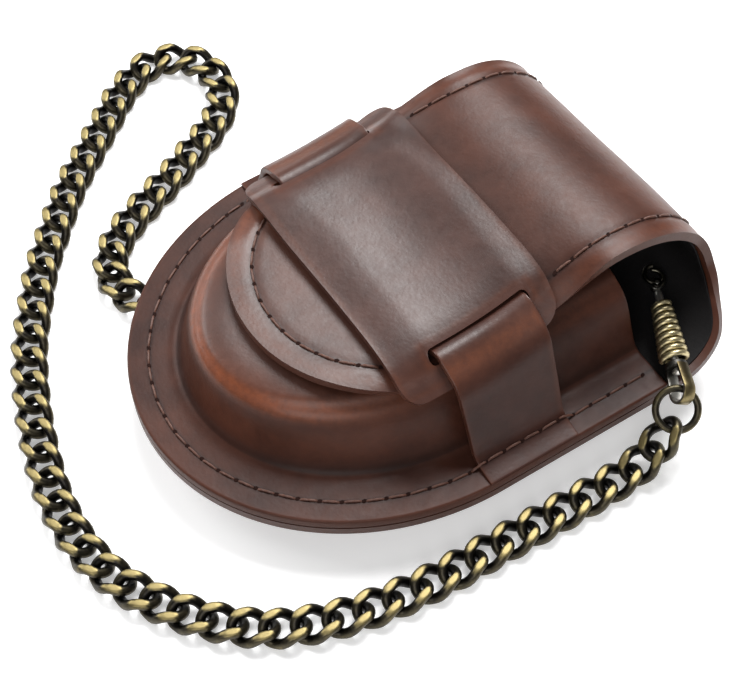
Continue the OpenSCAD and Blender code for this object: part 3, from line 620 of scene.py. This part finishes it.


# spring: a conical coil of even pitch, narrowing toward the claws
springMesh = bmesh.new()
coilWide, coilNarrow = ((clasp[key] - clasp["springWire"]) / 2
                        for key in ("springOuter", "springEnd"))
coilCount = int(clasp["turns"] * clasp["turnSteps"])
coilPitch = (clasp["springLength"] - clasp["springWire"] - 0.2) / clasp["turns"]
coilLine = []
for i in range(coilCount + 1):
    radius = coilWide + (coilNarrow - coilWide) * i / coilCount
    turn = i / clasp["turnSteps"]
    coilLine.append(Vector((clasp["springWire"] / 2 + 0.1 + coilPitch * turn,
                            radius * cos(tau * turn),
                            radius * sin(tau * turn))))
tube(springMesh, coilLine, lambda k: clasp["springWire"] / 2 * 1.02, 10)
claspSpring = claspPiece(
    "claspSpring", springMesh, [springBrass], "clasp", ("clasp_spring",),
    lambda c: 0.3 + 0.9 * (hypot(c.y, c.z) - coilWide + 0.4
                           + (coilWide - coilNarrow) * c.x / clasp["springLength"]))

# rod: head behind the plate, shank, flattened knuckle with its cross pin
rodLength = clasp["springLength"] + clasp["rodReach"]
rodMesh = bmesh.new()
lathe(rodMesh, [(-1.88, 0.01), (-1.86, 0.72), (-1.76, 0.9), (-1.3, 0.92), (-1.22, 0.86),
                (-1.18, 0.5), (0.6, 0.5), (1.0, clasp["rod"] / 2),
                (rodLength - 2.3, clasp["rod"] / 2), (rodLength - 1.35, 0.6),
                (rodLength - 1.1, 0.36, 0.288)])
for half, radius, bevel in ((0.3, 0.95, 0.1), (1.25, 0.4, 0.08)):
    lathe(rodMesh, [(-half, radius - bevel), (bevel - half, radius), (half - bevel, radius),
                    (half, radius - bevel)], upright=True, middle=rodLength)
for vertex in bmesh.ops.create_cube(rodMesh, size=1)["verts"]:
    x, y, z = vertex.co
    vertex.co = Vector((rodLength - 1.5 + (x + 0.5) * 1.1, y * 0.8, z * 0.58))
claspRod = claspPiece("claspRod", rodMesh, [claspSteel], "clasp", ("clasp_rod",),
                      lambda c: 0.9 if c.x < rodLength - 0.9 else 0.3)

# eye: strip wound round with its two ends run to the swivel plate
eyeMesh = bmesh.new()
eyeOuter, plateR, half = clasp["eyeOuter"] / 2, clasp["plateR"], clasp["eyeWide"] / 2
soft = half - 0.12


def eyeRow(startX, endR, bendR):
    angles = [radians(90 + 6 * i) for i in range(31)]
    return ([(startX, endR)] + [(clasp["eyeX"] + bendR * cos(a), bendR * sin(a))
                                for a in angles] + [(startX, -endR)])


columns = []
for (ox, oz), (ix, iz) in zip(eyeRow(-clasp["plate"] / 2 - 0.1, plateR, eyeOuter),
                              eyeRow(-clasp["plate"] - 0.02, plateR - clasp["eyeStrip"],
                                     eyeOuter - clasp["eyeStrip"])):
    (nx, nz), (fx, fz) = ((ox + (ix - ox) * t, oz + (iz - oz) * t) for t in (0.16, 0.84))
    columns.append([(ox, -soft, oz), (ox, soft, oz), (nx, half, nz), (fx, half, fz),
                    (ix, soft, iz), (ix, -soft, iz), (fx, -half, fz), (nx, -half, nz)])
for n, face in enumerate(skinned(eyeMesh, columns)[:-2]):
    face.material_index = int(n % 8 in (0, 1, 7))  # brass shows outside, plating inside
lathe(eyeMesh, [(-1.0, 0.56), (-1.0, plateR - 0.2), (-0.9, plateR), (-0.12, plateR),
                (0.0, plateR - 0.15), (0.0, 0.56)], 28, ring=True)
claspEye = claspPiece(
    "claspEye", eyeMesh, [claspSteel, springBrass], "pouch", ("clasp_eye",),
    lambda c: 0.05 if c.x > -1.1 and abs(c.z) < plateR + 0.01 else 0.35
    + 0.4 * (hypot(c.x - clasp["eyeX"], c.z) < eyeOuter - 0.3),
    place=claspTurn @ Matrix.Rotation(radians(clasp["eyeRoll"]), 4, "X"))

# claws: one half ring, modelled the same way for both and turned over for the lower
clawR = clasp["clawLength"] / 2 - 0.5
for side, body in ((1, "upper"), (-1, "lower")):
    clawMesh = bmesh.new()
    tube(clawMesh, [Vector((clawR * (1 + cos(radians(a))),
                            clawR * sin(radians(a)), 0.4)) for a in range(2, 171, 6)],
         lambda k: clasp["clawWire"] * (0.72 + 0.28 * sin(
             pi * min(1, k * 4 + 0.25) / 2)), 12)
    lathe(clawMesh, [(0.0, 0.45), (0.0, 0.86), (0.08, 0.94), (0.72, 0.94), (0.8, 0.86),
                     (0.8, 0.45)], upright=True, ring=True)
    clawPlace = claspTurn @ Matrix.Translation((rodLength, 0, 0.4 * side))
    if side < 0:
        clawPlace = clawPlace @ Matrix.Rotation(pi, 4, "X")
    # the claws' dark brass is painted shade
    claspPiece("claw" + body.capitalize(), clawMesh, [clawShadeBrass], body, ("claw_" + body,),
               lambda c: 0.5, place=clawPlace)


# front panel: hide wet-moulded over a form, with a flat flange round it
domeCurve = softTable([(-2.6, 0.0), (-1.5, 0.1), (-0.7, 0.5), (0.0, 1.35), (0.75, 3.1), (1.5, 5.3),
                       (2.3, 7.5), (3.1, 9.2), (4.2, 10.6), (5.6, 11.6), (7.4, 12.35),
                       (9.5, 12.8), (13, 13.1), (20, 13.3), (31, 13.35)], 0.28)


def seamGroove(distance, depth=0.22, width=0.85):
    return -depth * bell(distance, 0, width)


def frontPoint(k, r):
    lean = pouch["lean"] if r > 0 else 1
    x, y = outlinePoint(domeA - r, domeB - lean * r, pouch["mouth"], k)
    x += ripple(x, y, 21, 0.35, 3.1) * clamp((r - 1) / 4)
    z = domeCurve(r) + ripple(x, y, 15, 0.22) * clamp((r + 1) / 3)
    z += ripple(x, y, 26, 0.16, 7.7) * clamp((-r - 2) / 3)
    return x, y, z + seamGroove(-r - domeA + pouch["halfWidth"] - pouch["seamIn"])


def outlineInset(p):
    # how far inside the flange edge a point lies
    if p.y > 0:
        return pouch["halfWidth"] - abs(p.x)
    r = hypot(p.x / pouch["halfWidth"], p.y / pouch["nose"])
    share = abs(p.y) / (abs(p.y) + abs(p.x) + 1e-6)
    return (1 - r) * (pouch["halfWidth"] + (pouch["nose"] - pouch["halfWidth"]) * share)


def frontWearAndHighlight(p, n):
    # the ridge is stretch wear, made stronger so that it also paints the highlight on the form's
    # rounded edge
    ridge = bell(p.z, 11.5, 1.15) * clamp(1.2 - n.z)  # stretched over the form's edge
    nose = 0.5 + 0.5 * clamp(-p.y / 20)
    wall = 0.22 * bell(p.z, 6.0, 4.0) * clamp(1 - n.z) * clamp(0.6 - p.y / 40)
    return clamp(ridge * 2.1 * nose + wall)


frontAcross = spaced((-1.6, 26), (-1.0, 88), (1.0, 26), (1.6, 0))
frontAlong = spaced((-9.8, 3), (-8.2, 9), (-3.4, 3), (-2.2, 20), (8.4, 10), (30.2, 0))
frontHide = gridPiece("frontHide", frontAcross, frontAlong, frontPoint, ((0, 0, 13.3), (0, 0, 1)))
leatherSheet(frontHide, pouch["frontThick"], 0.35, glued=lambda p: p.z < 0.3 - pouch["frontThick"])
painted(frontHide, wear=frontWearAndHighlight,
        edge=lambda p, n: clamp(1 - outlineInset(p) / 0.9) * (p.z < 1.5),
        # painted shade: near-black in the flange's stitch groove and in the crease where the
        # dome's wall meets the flange
        seam=lambda p, n: 0.75 * bell(outlineInset(p), pouch["seamIn"], 0.5) * (p.z < 0.6)
        + 0.5 * bell(p.z, 0.6, 1.0) * (n.z < 0.86) * (outlineInset(p) > 6),
        matt=lambda p, n: clamp(1 - (p.z - 9) / 3) * 0.9)
finishWith(frontHide, [cowhide], "pouch", ("front_panel",))


# back panel, roll and flap are one hide: flat behind, rolled over the top, tongue in front
def farTaper(u, y, z):
    # the soft roll is drawn in a little at its far end
    back = clamp((z - 4) / 8) if y > roll["crestY"] else clamp((y - 16) / 17)
    return clamp((1 - u) / 2) * back * back * (3 - 2 * back)


def squareRow(u, v, inset):
    # v: 0-1 back nose, 1-2 flat back, 2-3 lower roll, 3-4 upper roll, 4-5 flap run, 5-6 flap nose
    a, b = pouch["halfWidth"] - inset, pouch["nose"] - inset
    if v < 1:
        x, y = nosePoint(u, 1 - v)
        return x * a, y * b, backZ, (0, -1)
    if v < 2:
        return u * a, roll["lowY"] * (v - 1), backZ, (0, -1)
    if v < 4:
        middle, deep = (roll["lowY"], roll["lowDepth"]) if v < 3 else (
            roll["crestY"], roll["crestZ"] - roll["turnZ"])
        c, s = cos(radians(90 * (v - 3))), sin(radians(90 * (v - 3)))
        y, z = middle + (roll["back"] - middle) * c, roll["turnZ"] + deep * s
        n = Vector((c / (roll["back"] - middle), s / deep)).normalized()
        return u * (rollWidth(z) - inset), y, z, n
    if v < 5:
        x, y = u * (flap["halfWidth"] - inset), roll["crestY"] * (5 - v)
        return x, y, flapTop(x, y), Vector((-(rise(y + .1) - rise(y - .1)) / .2, 1)).normalized()
    x, y = nosePoint(u, v - 5)
    x, y = x * (flap["halfWidth"] - inset), y * (flap["nose"] - inset)
    return x, y, flapTop(x, y), (0, 1)


def hideRow(u, v, inset=0.0):
    x, y, z, n = squareRow(u, v, inset)
    if 2 < v < 5:
        taper = farTaper(u, y, z)
        x *= 1 - roll["farNarrow"] * taper * clamp((1 - u) / 2)
        y -= roll["farShort"] * taper * clamp((y - roll["crestY"]) / 20)
    return x, y, z, n


def noseInset(x, y):
    if y > 0:
        return flap["halfWidth"] - abs(x)
    return (1 - hypot(x / flap["halfWidth"], y / flap["nose"])) * flap["noseReach"]


def hidePoint(u, v):
    x, y, z, n = hideRow(u, v)
    bulge = ripple(x, y + 3 * z, 24, 0.3, 5.0) * clamp((v - 2) / 0.5) * clamp((5.6 - v) / 0.6)
    bulge += ripple(x, y + 2 * z, 11, 0.1, 9.0) * clamp((v - 2) / 0.5)
    if 2 < v < 6:  # the sewn side is pulled in a little and its rim stands out again
        side = (rollWidth(z) if v < 4 else flap["halfWidth"]) * (1 - abs(u))
        if v >= 5:
            side = noseInset(x, y)
        bulge += seamGroove(side - flap["seamIn"], 0.2)
        bulge -= 0.16 * bell(side, 1.2, 1.4) * clamp((5 - v) / 0.5)
    return x, y + bulge * n[0], z + bulge * n[1]


def hideSide(p):
    if p.z < -1.5 and p.y < roll["lowY"] + 1:
        return outlineInset(p)
    narrow = 1 - roll["farNarrow"] * farTaper(-1 if p.x < 0 else 1, p.y, p.z)
    if p.y > roll["crestY"]:
        return rollWidth(p.z) * narrow - abs(p.x)
    return noseInset(p.x / narrow, p.y)


def hideWear(p, n):
    crest = bell(p.y, 47, 6) * (p.z > 8) * 0.14
    bend = bell(hideSide(p), 1.6, 1.4) * (p.z > 3) * 0.2
    rub = 0.3 * bell(p.x, -20, 7) * bell(p.y, -8, 16) * (p.z > 8)
    return clamp(crest + bend + rub + 0.06)


pouchHide = gridPiece("pouchHide", spaced((-1, 6), (-0.88, 8), (-0.72, 26), (0.72, 8), (0.88, 6),
                                          (1, 0)),
                      spaced((0, 26), (1, 14), (2, 24), (3, 30), (4, 30), (5, 30), (6, 0)),
                      hidePoint, ((0, 0, 15.8), (0, 0, 1)))
leatherSheet(pouchHide, pouch["backThick"], 0.4,
             weights=lambda p: 1.0 if p.z < 2.7 and (p.z < -4.3 or p.y > 30) else 0.85,
             glued=lambda p: abs(p.z + pouch["frontThick"]) < 0.3 and p.y < roll["lowY"])
painted(pouchHide, wear=hideWear, edge=lambda p, n: clamp(1 - hideSide(p) / 0.8) * 0.9,
        matt=lambda p, n: 0.15 + 0.5 * clamp((p.y - 18) / 8),
        # painted shade in the stitch grooves of the sides, the flap and the flange
        seam=lambda p, n: 0.7 * bell(hideSide(p), flap["seamIn"], 0.45)
        * (p.z > backZ + 2.4) * (n.z > 0.1 or p.y > roll["crestY"])
        + 0.7 * bell(outlineInset(p), pouch["seamIn"], 0.5) * (p.z < backZ + 0.3))
finishWith(pouchHide, [cowhide], "stretch", ("back_panel", "flap"))


# linings: thin split leather just inside the hides
def frontLiningPoint(k, r):
    x, y = outlinePoint(domeA - r - 1.85, domeB - pouch["lean"] * r - 1.85,
                        pouch["mouth"] - 0.3, k)
    return x, y, domeCurve(r) - 1.87


frontLining = gridPiece("frontLining", frontAcross[::3] + frontAcross[-1:],
                        spaced((1.1, 12), (8.4, 8), (28.3, 0)), frontLiningPoint,
                        ((0, 0, 11), (0, 0, 1)))
leatherSheet(frontLining, 0.72, 0.15)
finishWith(frontLining, [lining], "pouch", ("front_lining",))


def rollLiningPoint(u, v):
    a, b = domeA - 2.3, domeB - 2.3
    if v < 1:
        x, y = nosePoint(u, 1 - v)
        return x * a, y * b, -1.78
    if v <= 1.9:
        return u * a, (v - 1) / 0.9 * (pouch["mouth"] - 0.1), -1.78
    if v < 2:  # past the mouth the lining spreads to the roll's own width
        return u * (pouch["halfWidth"] - 1.3), pouch["mouth"] + 0.5 + (v - 1.9) / 0.1, -1.78
    x, y, z, n = hideRow(u, v, 1.25 if v < 4 else 1.2)
    thick = 2.02 - 0.28 * clamp(v - 3) if v < 4 else 1.74
    return x, y - thick * n[0], z - thick * n[1]


rollLining = gridPiece("rollLining", spaced((-1, 30), (1, 0)),
                       spaced((0, 12), (1, 10), (1.9, 1), (1.92, 1), (2.0, 22), (3, 26), (4, 22),
                              (5, 16), (6, 0)), rollLiningPoint, ((0, 0, 14), (0, 0, 1)))
leatherSheet(rollLining, 0.42, 0.1)
finishWith(rollLining, [lining], "stretch", ("back_lining", "flap_lining"))


# keeper band with its two slots
band = {"half": 27.2, "front": -10.5, "rear": 20, "thick": 1.5, "slotIn": 20.9, "slotOut": 23.1,
        "slotLow": -3.6, "slotHigh": 16.4, "corner": 3.4, "gap": 0.32, "farShift": -2.5}
strap = {"width": 18, "thick": 1.4, "middle": 6.5, "gap": 0.25}
liftRows = softTable([(-10.5, 0.25), (-8.5, 0.42), (-5.5, 0.78), (-3.2, 0.97), (-2.2, 1),
                      (15.2, 1), (16.2, 0.97), (18, 0.75), (20, 0.5)], 0.7)
liftSide = softTable([(0, 1), (18, 1), (20.9, 0.9), (23.1, 0), (30, 0)], 0.4)


def farSkew(x):  # the strap runs a little nearer the nose at its far end
    return band["farShift"] * clamp((-x - 5) / 14)


def bandLow(x, y):
    near = min(y, 20)
    return (flapTop(x, near) + rise(y) - rise(near) + band["gap"]
            + (strap["thick"] + strap["gap"]) * liftRows(y - farSkew(x)) * liftSide(abs(x)))


def slotDraw(x, y):
    # draws the grid in toward each slot's ends, so that they come out round
    reach = (band["slotOut"] - band["slotIn"]) / 2
    middle = band["slotIn"] + reach
    inside = min(y - band["slotLow"], band["slotHigh"] - y)
    if inside >= reach:
        return x
    if inside >= 0:
        half = sqrt(max(0, reach ** 2 - (reach - inside) ** 2))
    else:
        half = reach * clamp(-inside / 1.6)
    off = abs(x) - middle
    if abs(off) <= reach:
        off *= half / reach
    else:
        off -= copysign((reach - half) * clamp(1 - (abs(off) - reach) / 1.7), off)
    return copysign(middle + off, x)


def bandPoint(x, y):
    x = slotDraw(x, y)
    y += farSkew(x) * clamp((y - band["front"]) / 5) * clamp((band["rear"] - y) / 3)
    ends = min(y - band["front"], band["rear"] - y)
    half, corner = band["half"], band["corner"]
    if ends < corner:
        half -= corner - sqrt(max(0, corner ** 2 - (corner - ends) ** 2))
    if abs(x) > band["slotOut"]:
        share = (abs(x) - band["slotOut"]) / (band["half"] - band["slotOut"])
        x = copysign(band["slotOut"] + share * (half - band["slotOut"]), x)
    step = 0.3
    n = Vector(((bandLow(x - step, y) - bandLow(x + step, y)) / (2 * step),
                (bandLow(x, y - step) - bandLow(x, y + step)) / (2 * step), 1)).normalized()
    top = Vector((x, y, bandLow(x, y))) + band["thick"] * n
    return (top.x, top.y + 0.35 * sin(x / 9) * bell(ends, 0, 3),
            top.z + ripple(x, y, 13, 0.16, 2.2))


def bandSide(p):
    inside = min(band["half"] - abs(p.x), p.y - band["front"], band["rear"] - p.y)
    slot = max(abs(abs(p.x) - 22.0) - 1.1, abs(p.y - farSkew(p.x) - 6.4) - 10)
    return min(max(inside, 0), max(slot, 0))


keeperBand = gridPiece(
    "keeperBand",
    spaced((-27.2, 6), (-23.1, 4), (-20.9, 4), (-18.6, 30), (18.6, 4), (20.9, 4), (23.1, 6),
           (27.2, 0)),
    spaced((-10.5, 6), (-9.5, 6), (-5.3, 3), (-3.6, 5), (-2.4, 17), (15.2, 5), (16.4, 3),
           (17.9, 3), (19.2, 5), (20, 0)), bandPoint, ((0, 5, 18), (0, 0, 1)),
    cut=lambda x, y: (band["slotIn"] < abs(x) < band["slotOut"]
                      and band["slotLow"] < y < band["slotHigh"]))
leatherSheet(keeperBand, band["thick"], 0.32)
painted(keeperBand,
        wear=lambda p, n: clamp(0.08 + 0.4 * bell(abs(p.x), 23.5, 1.6) * bell(p.y, 6, 14)
                                + 0.25 * bell(bandSide(p), 0.5, 0.6)),
        edge=lambda p, n: 0.8 * clamp(1 - bandSide(p) / 0.5))
finishWith(keeperBand, [strapHide], "pouch", ("keeper_band",))


# cross strap: under the band's middle, up through the slots, down to the flange seam
def overFlap(x):
    return flap["restZ"] - sagCurve(domeA - abs(x))


# each row: x, z, share of the flap's rise that lifts it, share of its full thickness
strapHalf = [(0, 16.9, 1, 1), (9, 16.9, 1, 1), (18.4, 16.75, 1, 1),
             (20.9, overFlap(20.9) + 1.2, 1, 1), (23.2, overFlap(23.2) + 2.85, 1, 1),
             (25.2, overFlap(25.2) + 2.95, 1, 1), (26.5, overFlap(26.2) + 2.9, 1, 1),
             (28.2, overFlap(25.9) + 1.9, 0.95, 1), (29.6, overFlap(25.9) + 0.25, 0.85, 1),
             (30.5, 11.2, 0.7, 1), (32, 7.5, 0.45, 1), (33.3, 4.2, 0.22, 1),
             (34.2, 2.0, 0.08, 1), (35.4, 0.75, 0, 0.85), (37.2, 0.36, 0, 0.48),
             (39.9, 0.14, 0, 0.22)]
strapLine = np.array([(-x, *rest) for x, *rest in strapHalf[:0:-1]] + strapHalf)
strapRun = np.concatenate([[0], np.cumsum(np.hypot(*np.diff(strapLine[:, :2], axis=0).T))])


def strapAt(s):  # smooth run through the measured rows
    last = len(strapLine) - 1
    i = int(clamp(int(np.searchsorted(strapRun, s)) - 1, 0, last - 1))
    before, a, b, after = (int(clamp(i + n, 0, last)) for n in (-1, 0, 1, 2))
    span = strapRun[b] - strapRun[a]
    t = (s - strapRun[a]) / span
    first = (strapLine[b] - strapLine[before]) / (
        max(0.5, strapRun[max(i, 1)] - strapRun[before]) + span) * span
    then = (strapLine[after] - strapLine[a]) / (
        span + max(0.5, strapRun[after] - strapRun[min(i + 1, last - 1)])) * span
    return ((2 * t ** 3 - 3 * t ** 2 + 1) * strapLine[a] + (t ** 3 - 2 * t ** 2 + t) * first
            + (-2 * t ** 3 + 3 * t ** 2) * strapLine[b] + (t ** 3 - t ** 2) * then)


def strapPoint(w, s):
    x, z, share, thick = strapAt(s)
    ahead, behind = strapAt(min(s + 0.3, strapRun[-1])), strapAt(max(s - 0.3, 0))
    n = Vector((behind[1] - ahead[1], ahead[0] - behind[0])).normalized()
    y = strap["middle"] + w * strap["width"] / 2
    out = strap["thick"] * thick / 2 + 0.12 * (1 - w * w) + ripple(y, s, 9, 0.12, 4.4)
    y += farSkew(x) + 0.2 * sin(s / 11)
    return x + out * n[0], y, z + rise(y) * share + out * n[1]


def strapSide(p):
    return strap["width"] / 2 - abs(p.y - farSkew(p.x) - strap["middle"])


keeperStrap = gridPiece("keeperStrap", spaced((-1, 3), (-0.86, 12), (0.86, 3), (1, 0)),
                        list(np.linspace(0, strapRun[-1], 116)), strapPoint,
                        ((0, 6.5, 17), (0, 0, 1)))
leatherSheet(keeperStrap, strap["thick"], 0.3,
             weights=lambda p: 1.0 - 0.15 * clamp(abs(p.x) - 34.4)
             - 0.63 * clamp((abs(p.x) - 35.4) / 4))
painted(keeperStrap,
        wear=lambda p, n: clamp(0.06 + 0.65 * bell(abs(p.x), 26.6, 1.9)
                                + 0.3 * bell(strapSide(p), 0, 0.7)),
        edge=lambda p, n: 0.8 * clamp(1 - abs(strapSide(p)) / 0.5),
        # painted shade in the stitch groove at the strap's ends
        seam=lambda p, n: 0.7 * bell(abs(p.x), 36.1, 0.5) * (p.z < 3),
        matt=lambda p, n: 0.8 * clamp((abs(p.x) - 27) / 3))
finishWith(keeperStrap, [strapHide], "pouch", ("keeper_strap",))

# belt loop behind the pouch
beltLoop = {"width": 30, "reach": 26, "thick": 1.98, "bend": 16.5, "seams": (21.0, 24.4)}
loopHalf = [(13.5, -tableDrop), (15.6, -10.1), (17.0, -9.2), (18.2, backZ - 2.7),
            (19.6, backZ - 2), (24, backZ - 2), (26, backZ - 2)]
loopHeight = softTable([(-y, z) for y, z in reversed(loopHalf)] + loopHalf, 0.35)
loopPiece = gridPiece("beltLoop", spaced((-1, 3), (-0.9, 12), (0.9, 3), (1, 0)),
                      spaced((-26, 12), (-19.8, 12), (-13.2, 16), (13.2, 12), (19.8, 12), (26, 0)),
                      lambda w, y: (w * beltLoop["width"] / 2, y, max(-tableDrop, loopHeight(y))),
                      ((0, 0, -tableDrop), (0, 0, -1)))
leatherSheet(loopPiece, beltLoop["thick"], 0.4)
painted(loopPiece,
        wear=lambda p, n: clamp(0.15 + 0.6 * bell(abs(p.y), beltLoop["bend"], 2.5)),
        edge=lambda p, n: 0.85 * clamp(1 - min(beltLoop["width"] / 2 - abs(p.x),
                                               beltLoop["reach"] - abs(p.y)) / 0.7),
        # painted shade in the stitch grooves
        seam=lambda p, n: 0.6 * min(1, sum(bell(abs(p.y), y, 0.5) for y in beltLoop["seams"])))
finishWith(loopPiece, [strapHide], "pouch", ("belt_loop",))

# stitches: one thread between two awl holes, placed along each seam
stitch = {"pitch": 3.7, "length": 3.3, "width": 0.46, "height": 0.2, "hole": 0.46, "sunk": 0.02,
          "steps": 9, "sides": 8, "holeSides": 12}


def threadPiece(mesh, place):
    rows = []
    for n in range(stitch["steps"]):
        t = n / (stitch["steps"] - 1) * 2 - 1
        z = stitch["height"] * (1 - abs(t) ** 4) - 0.16 * abs(t) ** 8 + stitch["sunk"] - 0.06
        fat = (1 - 0.25 * abs(t) ** 4) * (1 + 0.08 * sin(9 * t))
        rows.append([put(place @ Vector((t * stitch["length"] / 2, a, z + b)))
                     for a, b in rounded(stitch["sides"], fat * stitch["width"] / 2, fat * 0.24)])
    skinned(mesh, rows)


def awlHolePatch(mesh, place):
    # two threads share each awl hole, slanted as a pricking iron leaves it
    # each hole is a flat disc just above the surface; its near-black colour is the painted shade
    # of the hole's depth
    middle = mesh.verts.new(put(place @ Vector((0, 0, stitch["sunk"] + 0.05))))
    loop = [mesh.verts.new(put(place @ Vector((x + 0.3 * y, y, stitch["sunk"] + 0.08))))
            for x, y in rounded(stitch["holeSides"], stitch["hole"], stitch["hole"] * 0.78)]
    for first, second in zip(loop, loop[1:] + loop[:1]):
        mesh.faces.new((middle, first, second)).material_index = 1


def onLeather(point, up, hosts):
    # drops a seam point onto the nearest leather below it
    start = put(point) + up * 0.0022
    hits = [hit for host in hosts
            for found, hit, _, _ in [host.ray_cast(start, -up, distance=0.004)] if found]
    return drawn(min(hits, key=lambda hit: (hit - start).length)) if hits else Vector(point)


def sewnPiece(name, lines, hosts, body, nodes):
    mesh = bmesh.new()
    for points, ups in lines:
        points = [onLeather(p, Vector(u).normalized(), hosts) for p, u in zip(points, ups)]
        (at, run), (upAt, _) = sampler(points), sampler(points, ups)
        count = int((run - stitch["length"]) // stitch["pitch"])
        first = (run - count * stitch["pitch"]) / 2

        def placeAt(s, reach):
            return (Matrix.Translation(at(s))
                    @ turned((at(s + reach) - at(s - reach)).normalized(), upAt(s).normalized()))

        for i in range(count + 1):
            s = first + i * stitch["pitch"]
            slant = radians(2.5 * sin(i * 2.7))
            threadPiece(mesh, placeAt(s, 1.3) @ Matrix.Rotation(slant, 4, "Z"))
            for h in (-0.5, 0.5) if i == 0 else (0.5,):
                awlHolePatch(mesh, placeAt(s + h * stitch["pitch"], 0.6))
    finishWith(meshPiece(name, mesh), [thread, awlHole], body, nodes)


def hideSeam(u, start, end, steps):
    rows = [hideRow(u, v, flap["seamIn"]) for v in np.linspace(start, end, steps)]
    return [(x, y, z) for x, y, z, n in rows], [(0, n[0], n[1]) for x, y, z, n in rows]


seamA, seamB = pouch["halfWidth"] - pouch["seamIn"], pouch["nose"] - pouch["seamIn"]
flangeSeam = [(-seamA, y) for y in np.arange(33.3, 0, -0.6)]
flangeSeam += [(seamA * sin(radians(k)), -seamB * cos(radians(k)))
               for k in range(-90, 91)]
flangeSeam += [(seamA, y) for y in np.arange(0.6, 33.4, 0.6)]
sewnPiece("flangeStitches", [([(x, y, z) for x, y in flangeSeam], [(0, 0, up)] * len(flangeSeam))
                             for z, up in ((0, 1), (backZ, -1))],
          (frontHide, keeperStrap, pouchHide), "pouch", ("flange_stitches",))

tipSeam, tipUps = [], []
for k in np.linspace(-62, 62, 60):
    x = (flap["halfWidth"] - flap["seamIn"]) * sin(radians(k))
    y = -(flap["nose"] - flap["seamIn"]) * cos(radians(k))
    tipSeam.append((x, y, flapTop(x, y) - 0.16))
    tipUps.append(((flapTop(x - 0.3, y) - flapTop(x + 0.3, y)) / 0.6, 0, 1))
sewnPiece("flapStitches", [hideSeam(1, 3.06, 4.36, 70), hideSeam(-1, 3.06, 4.36, 70),
                           (tipSeam, tipUps)], (pouchHide,), "flap", ("flap_stitches",))
sewnPiece("rollStitches", [hideSeam(1, 2.18, 2.95, 40), hideSeam(-1, 2.18, 2.95, 40)],
          (pouchHide,), "stretch", ("roll_stitches",))
sewnPiece("loopStitches", [([(x, side * y, backZ - 2) for x in np.linspace(-12.6, 12.6, 30)],
                            [(0, 0, -1)] * 30) for side in (1, -1) for y in beltLoop["seams"]],
          (loopPiece,), "pouch", ("loop_stitches",))

# leather loop under the pouch that holds the last link: an eye on a tab sewn to the back
tab = {"hole": 1.22, "length": 9, "width": 7, "thick": 1.2, "start": 3.85, "neck": 2.4,
       "neckHalf": 1.1, "rim": 0.22}
tabMesh = bmesh.new()
lathe(tabMesh, [(z, tab["hole"] + r) for r, z in (
    (0, -1.0), (0.1, -1.2), (0.75, -1.2), (0.9, -1.0), (0.9, 1.0), (0.75, 1.2), (0.1, 1.2),
    (0, 1.0))], 28, upright=True, ring=True)
eyeTurn = (Matrix.Translation(endPoint) @ turned(endRun, (0, 0, 1))
           @ Matrix.Translation((3.75, 0, 0))
           @ Matrix.Rotation(radians(chain["twist"] - 90), 4, "X"))
for vertex in tabMesh.verts:
    vertex.co = put(eyeTurn @ vertex.co)
flatRun = Vector((endRun.x, endRun.y, 0)).normalized()
flatSide = Vector((-flatRun.y, flatRun.x, 0))
tabTop = backZ - tab["thick"]
for length, half, low, high in ((tab["length"], tab["width"] / 2, tabTop, backZ),
                                (tab["neck"], tab["neckHalf"], endPoint.z, tabTop + 0.2)):
    block = bmesh.ops.create_cube(tabMesh, size=1)["verts"]
    for vertex in block:
        x, y, z = vertex.co
        spot = (Vector((endPoint.x, endPoint.y, 0)) + flatSide * (y * 2 * half)
                + flatRun * (tab["start"] + tab["hole"] + (x + 0.5) * length))
        vertex.co = put((spot.x, spot.y, low + (z + 0.5) * (high - low)))
    bmesh.ops.bevel(tabMesh, geom=list({edge for vertex in block for edge in vertex.link_edges}),
                    offset=tab["rim"] / 1000, segments=2, affect="EDGES")
chainTab = meshPiece("chainTab", tabMesh, angle=40)
painted(chainTab, wear=lambda p, n: 0.3, edge=lambda p, n: 0.15)
finishWith(chainTab, [strapHide], "pouch", ("chain_loop",))

curbPath = [tuple(put(chainAt(s))) for s in np.linspace(0, chainEnd + 3.9, 160)][::-1]

bpy.ops.object.select_all(action="DESELECT")
print("stage: all pieces are made")
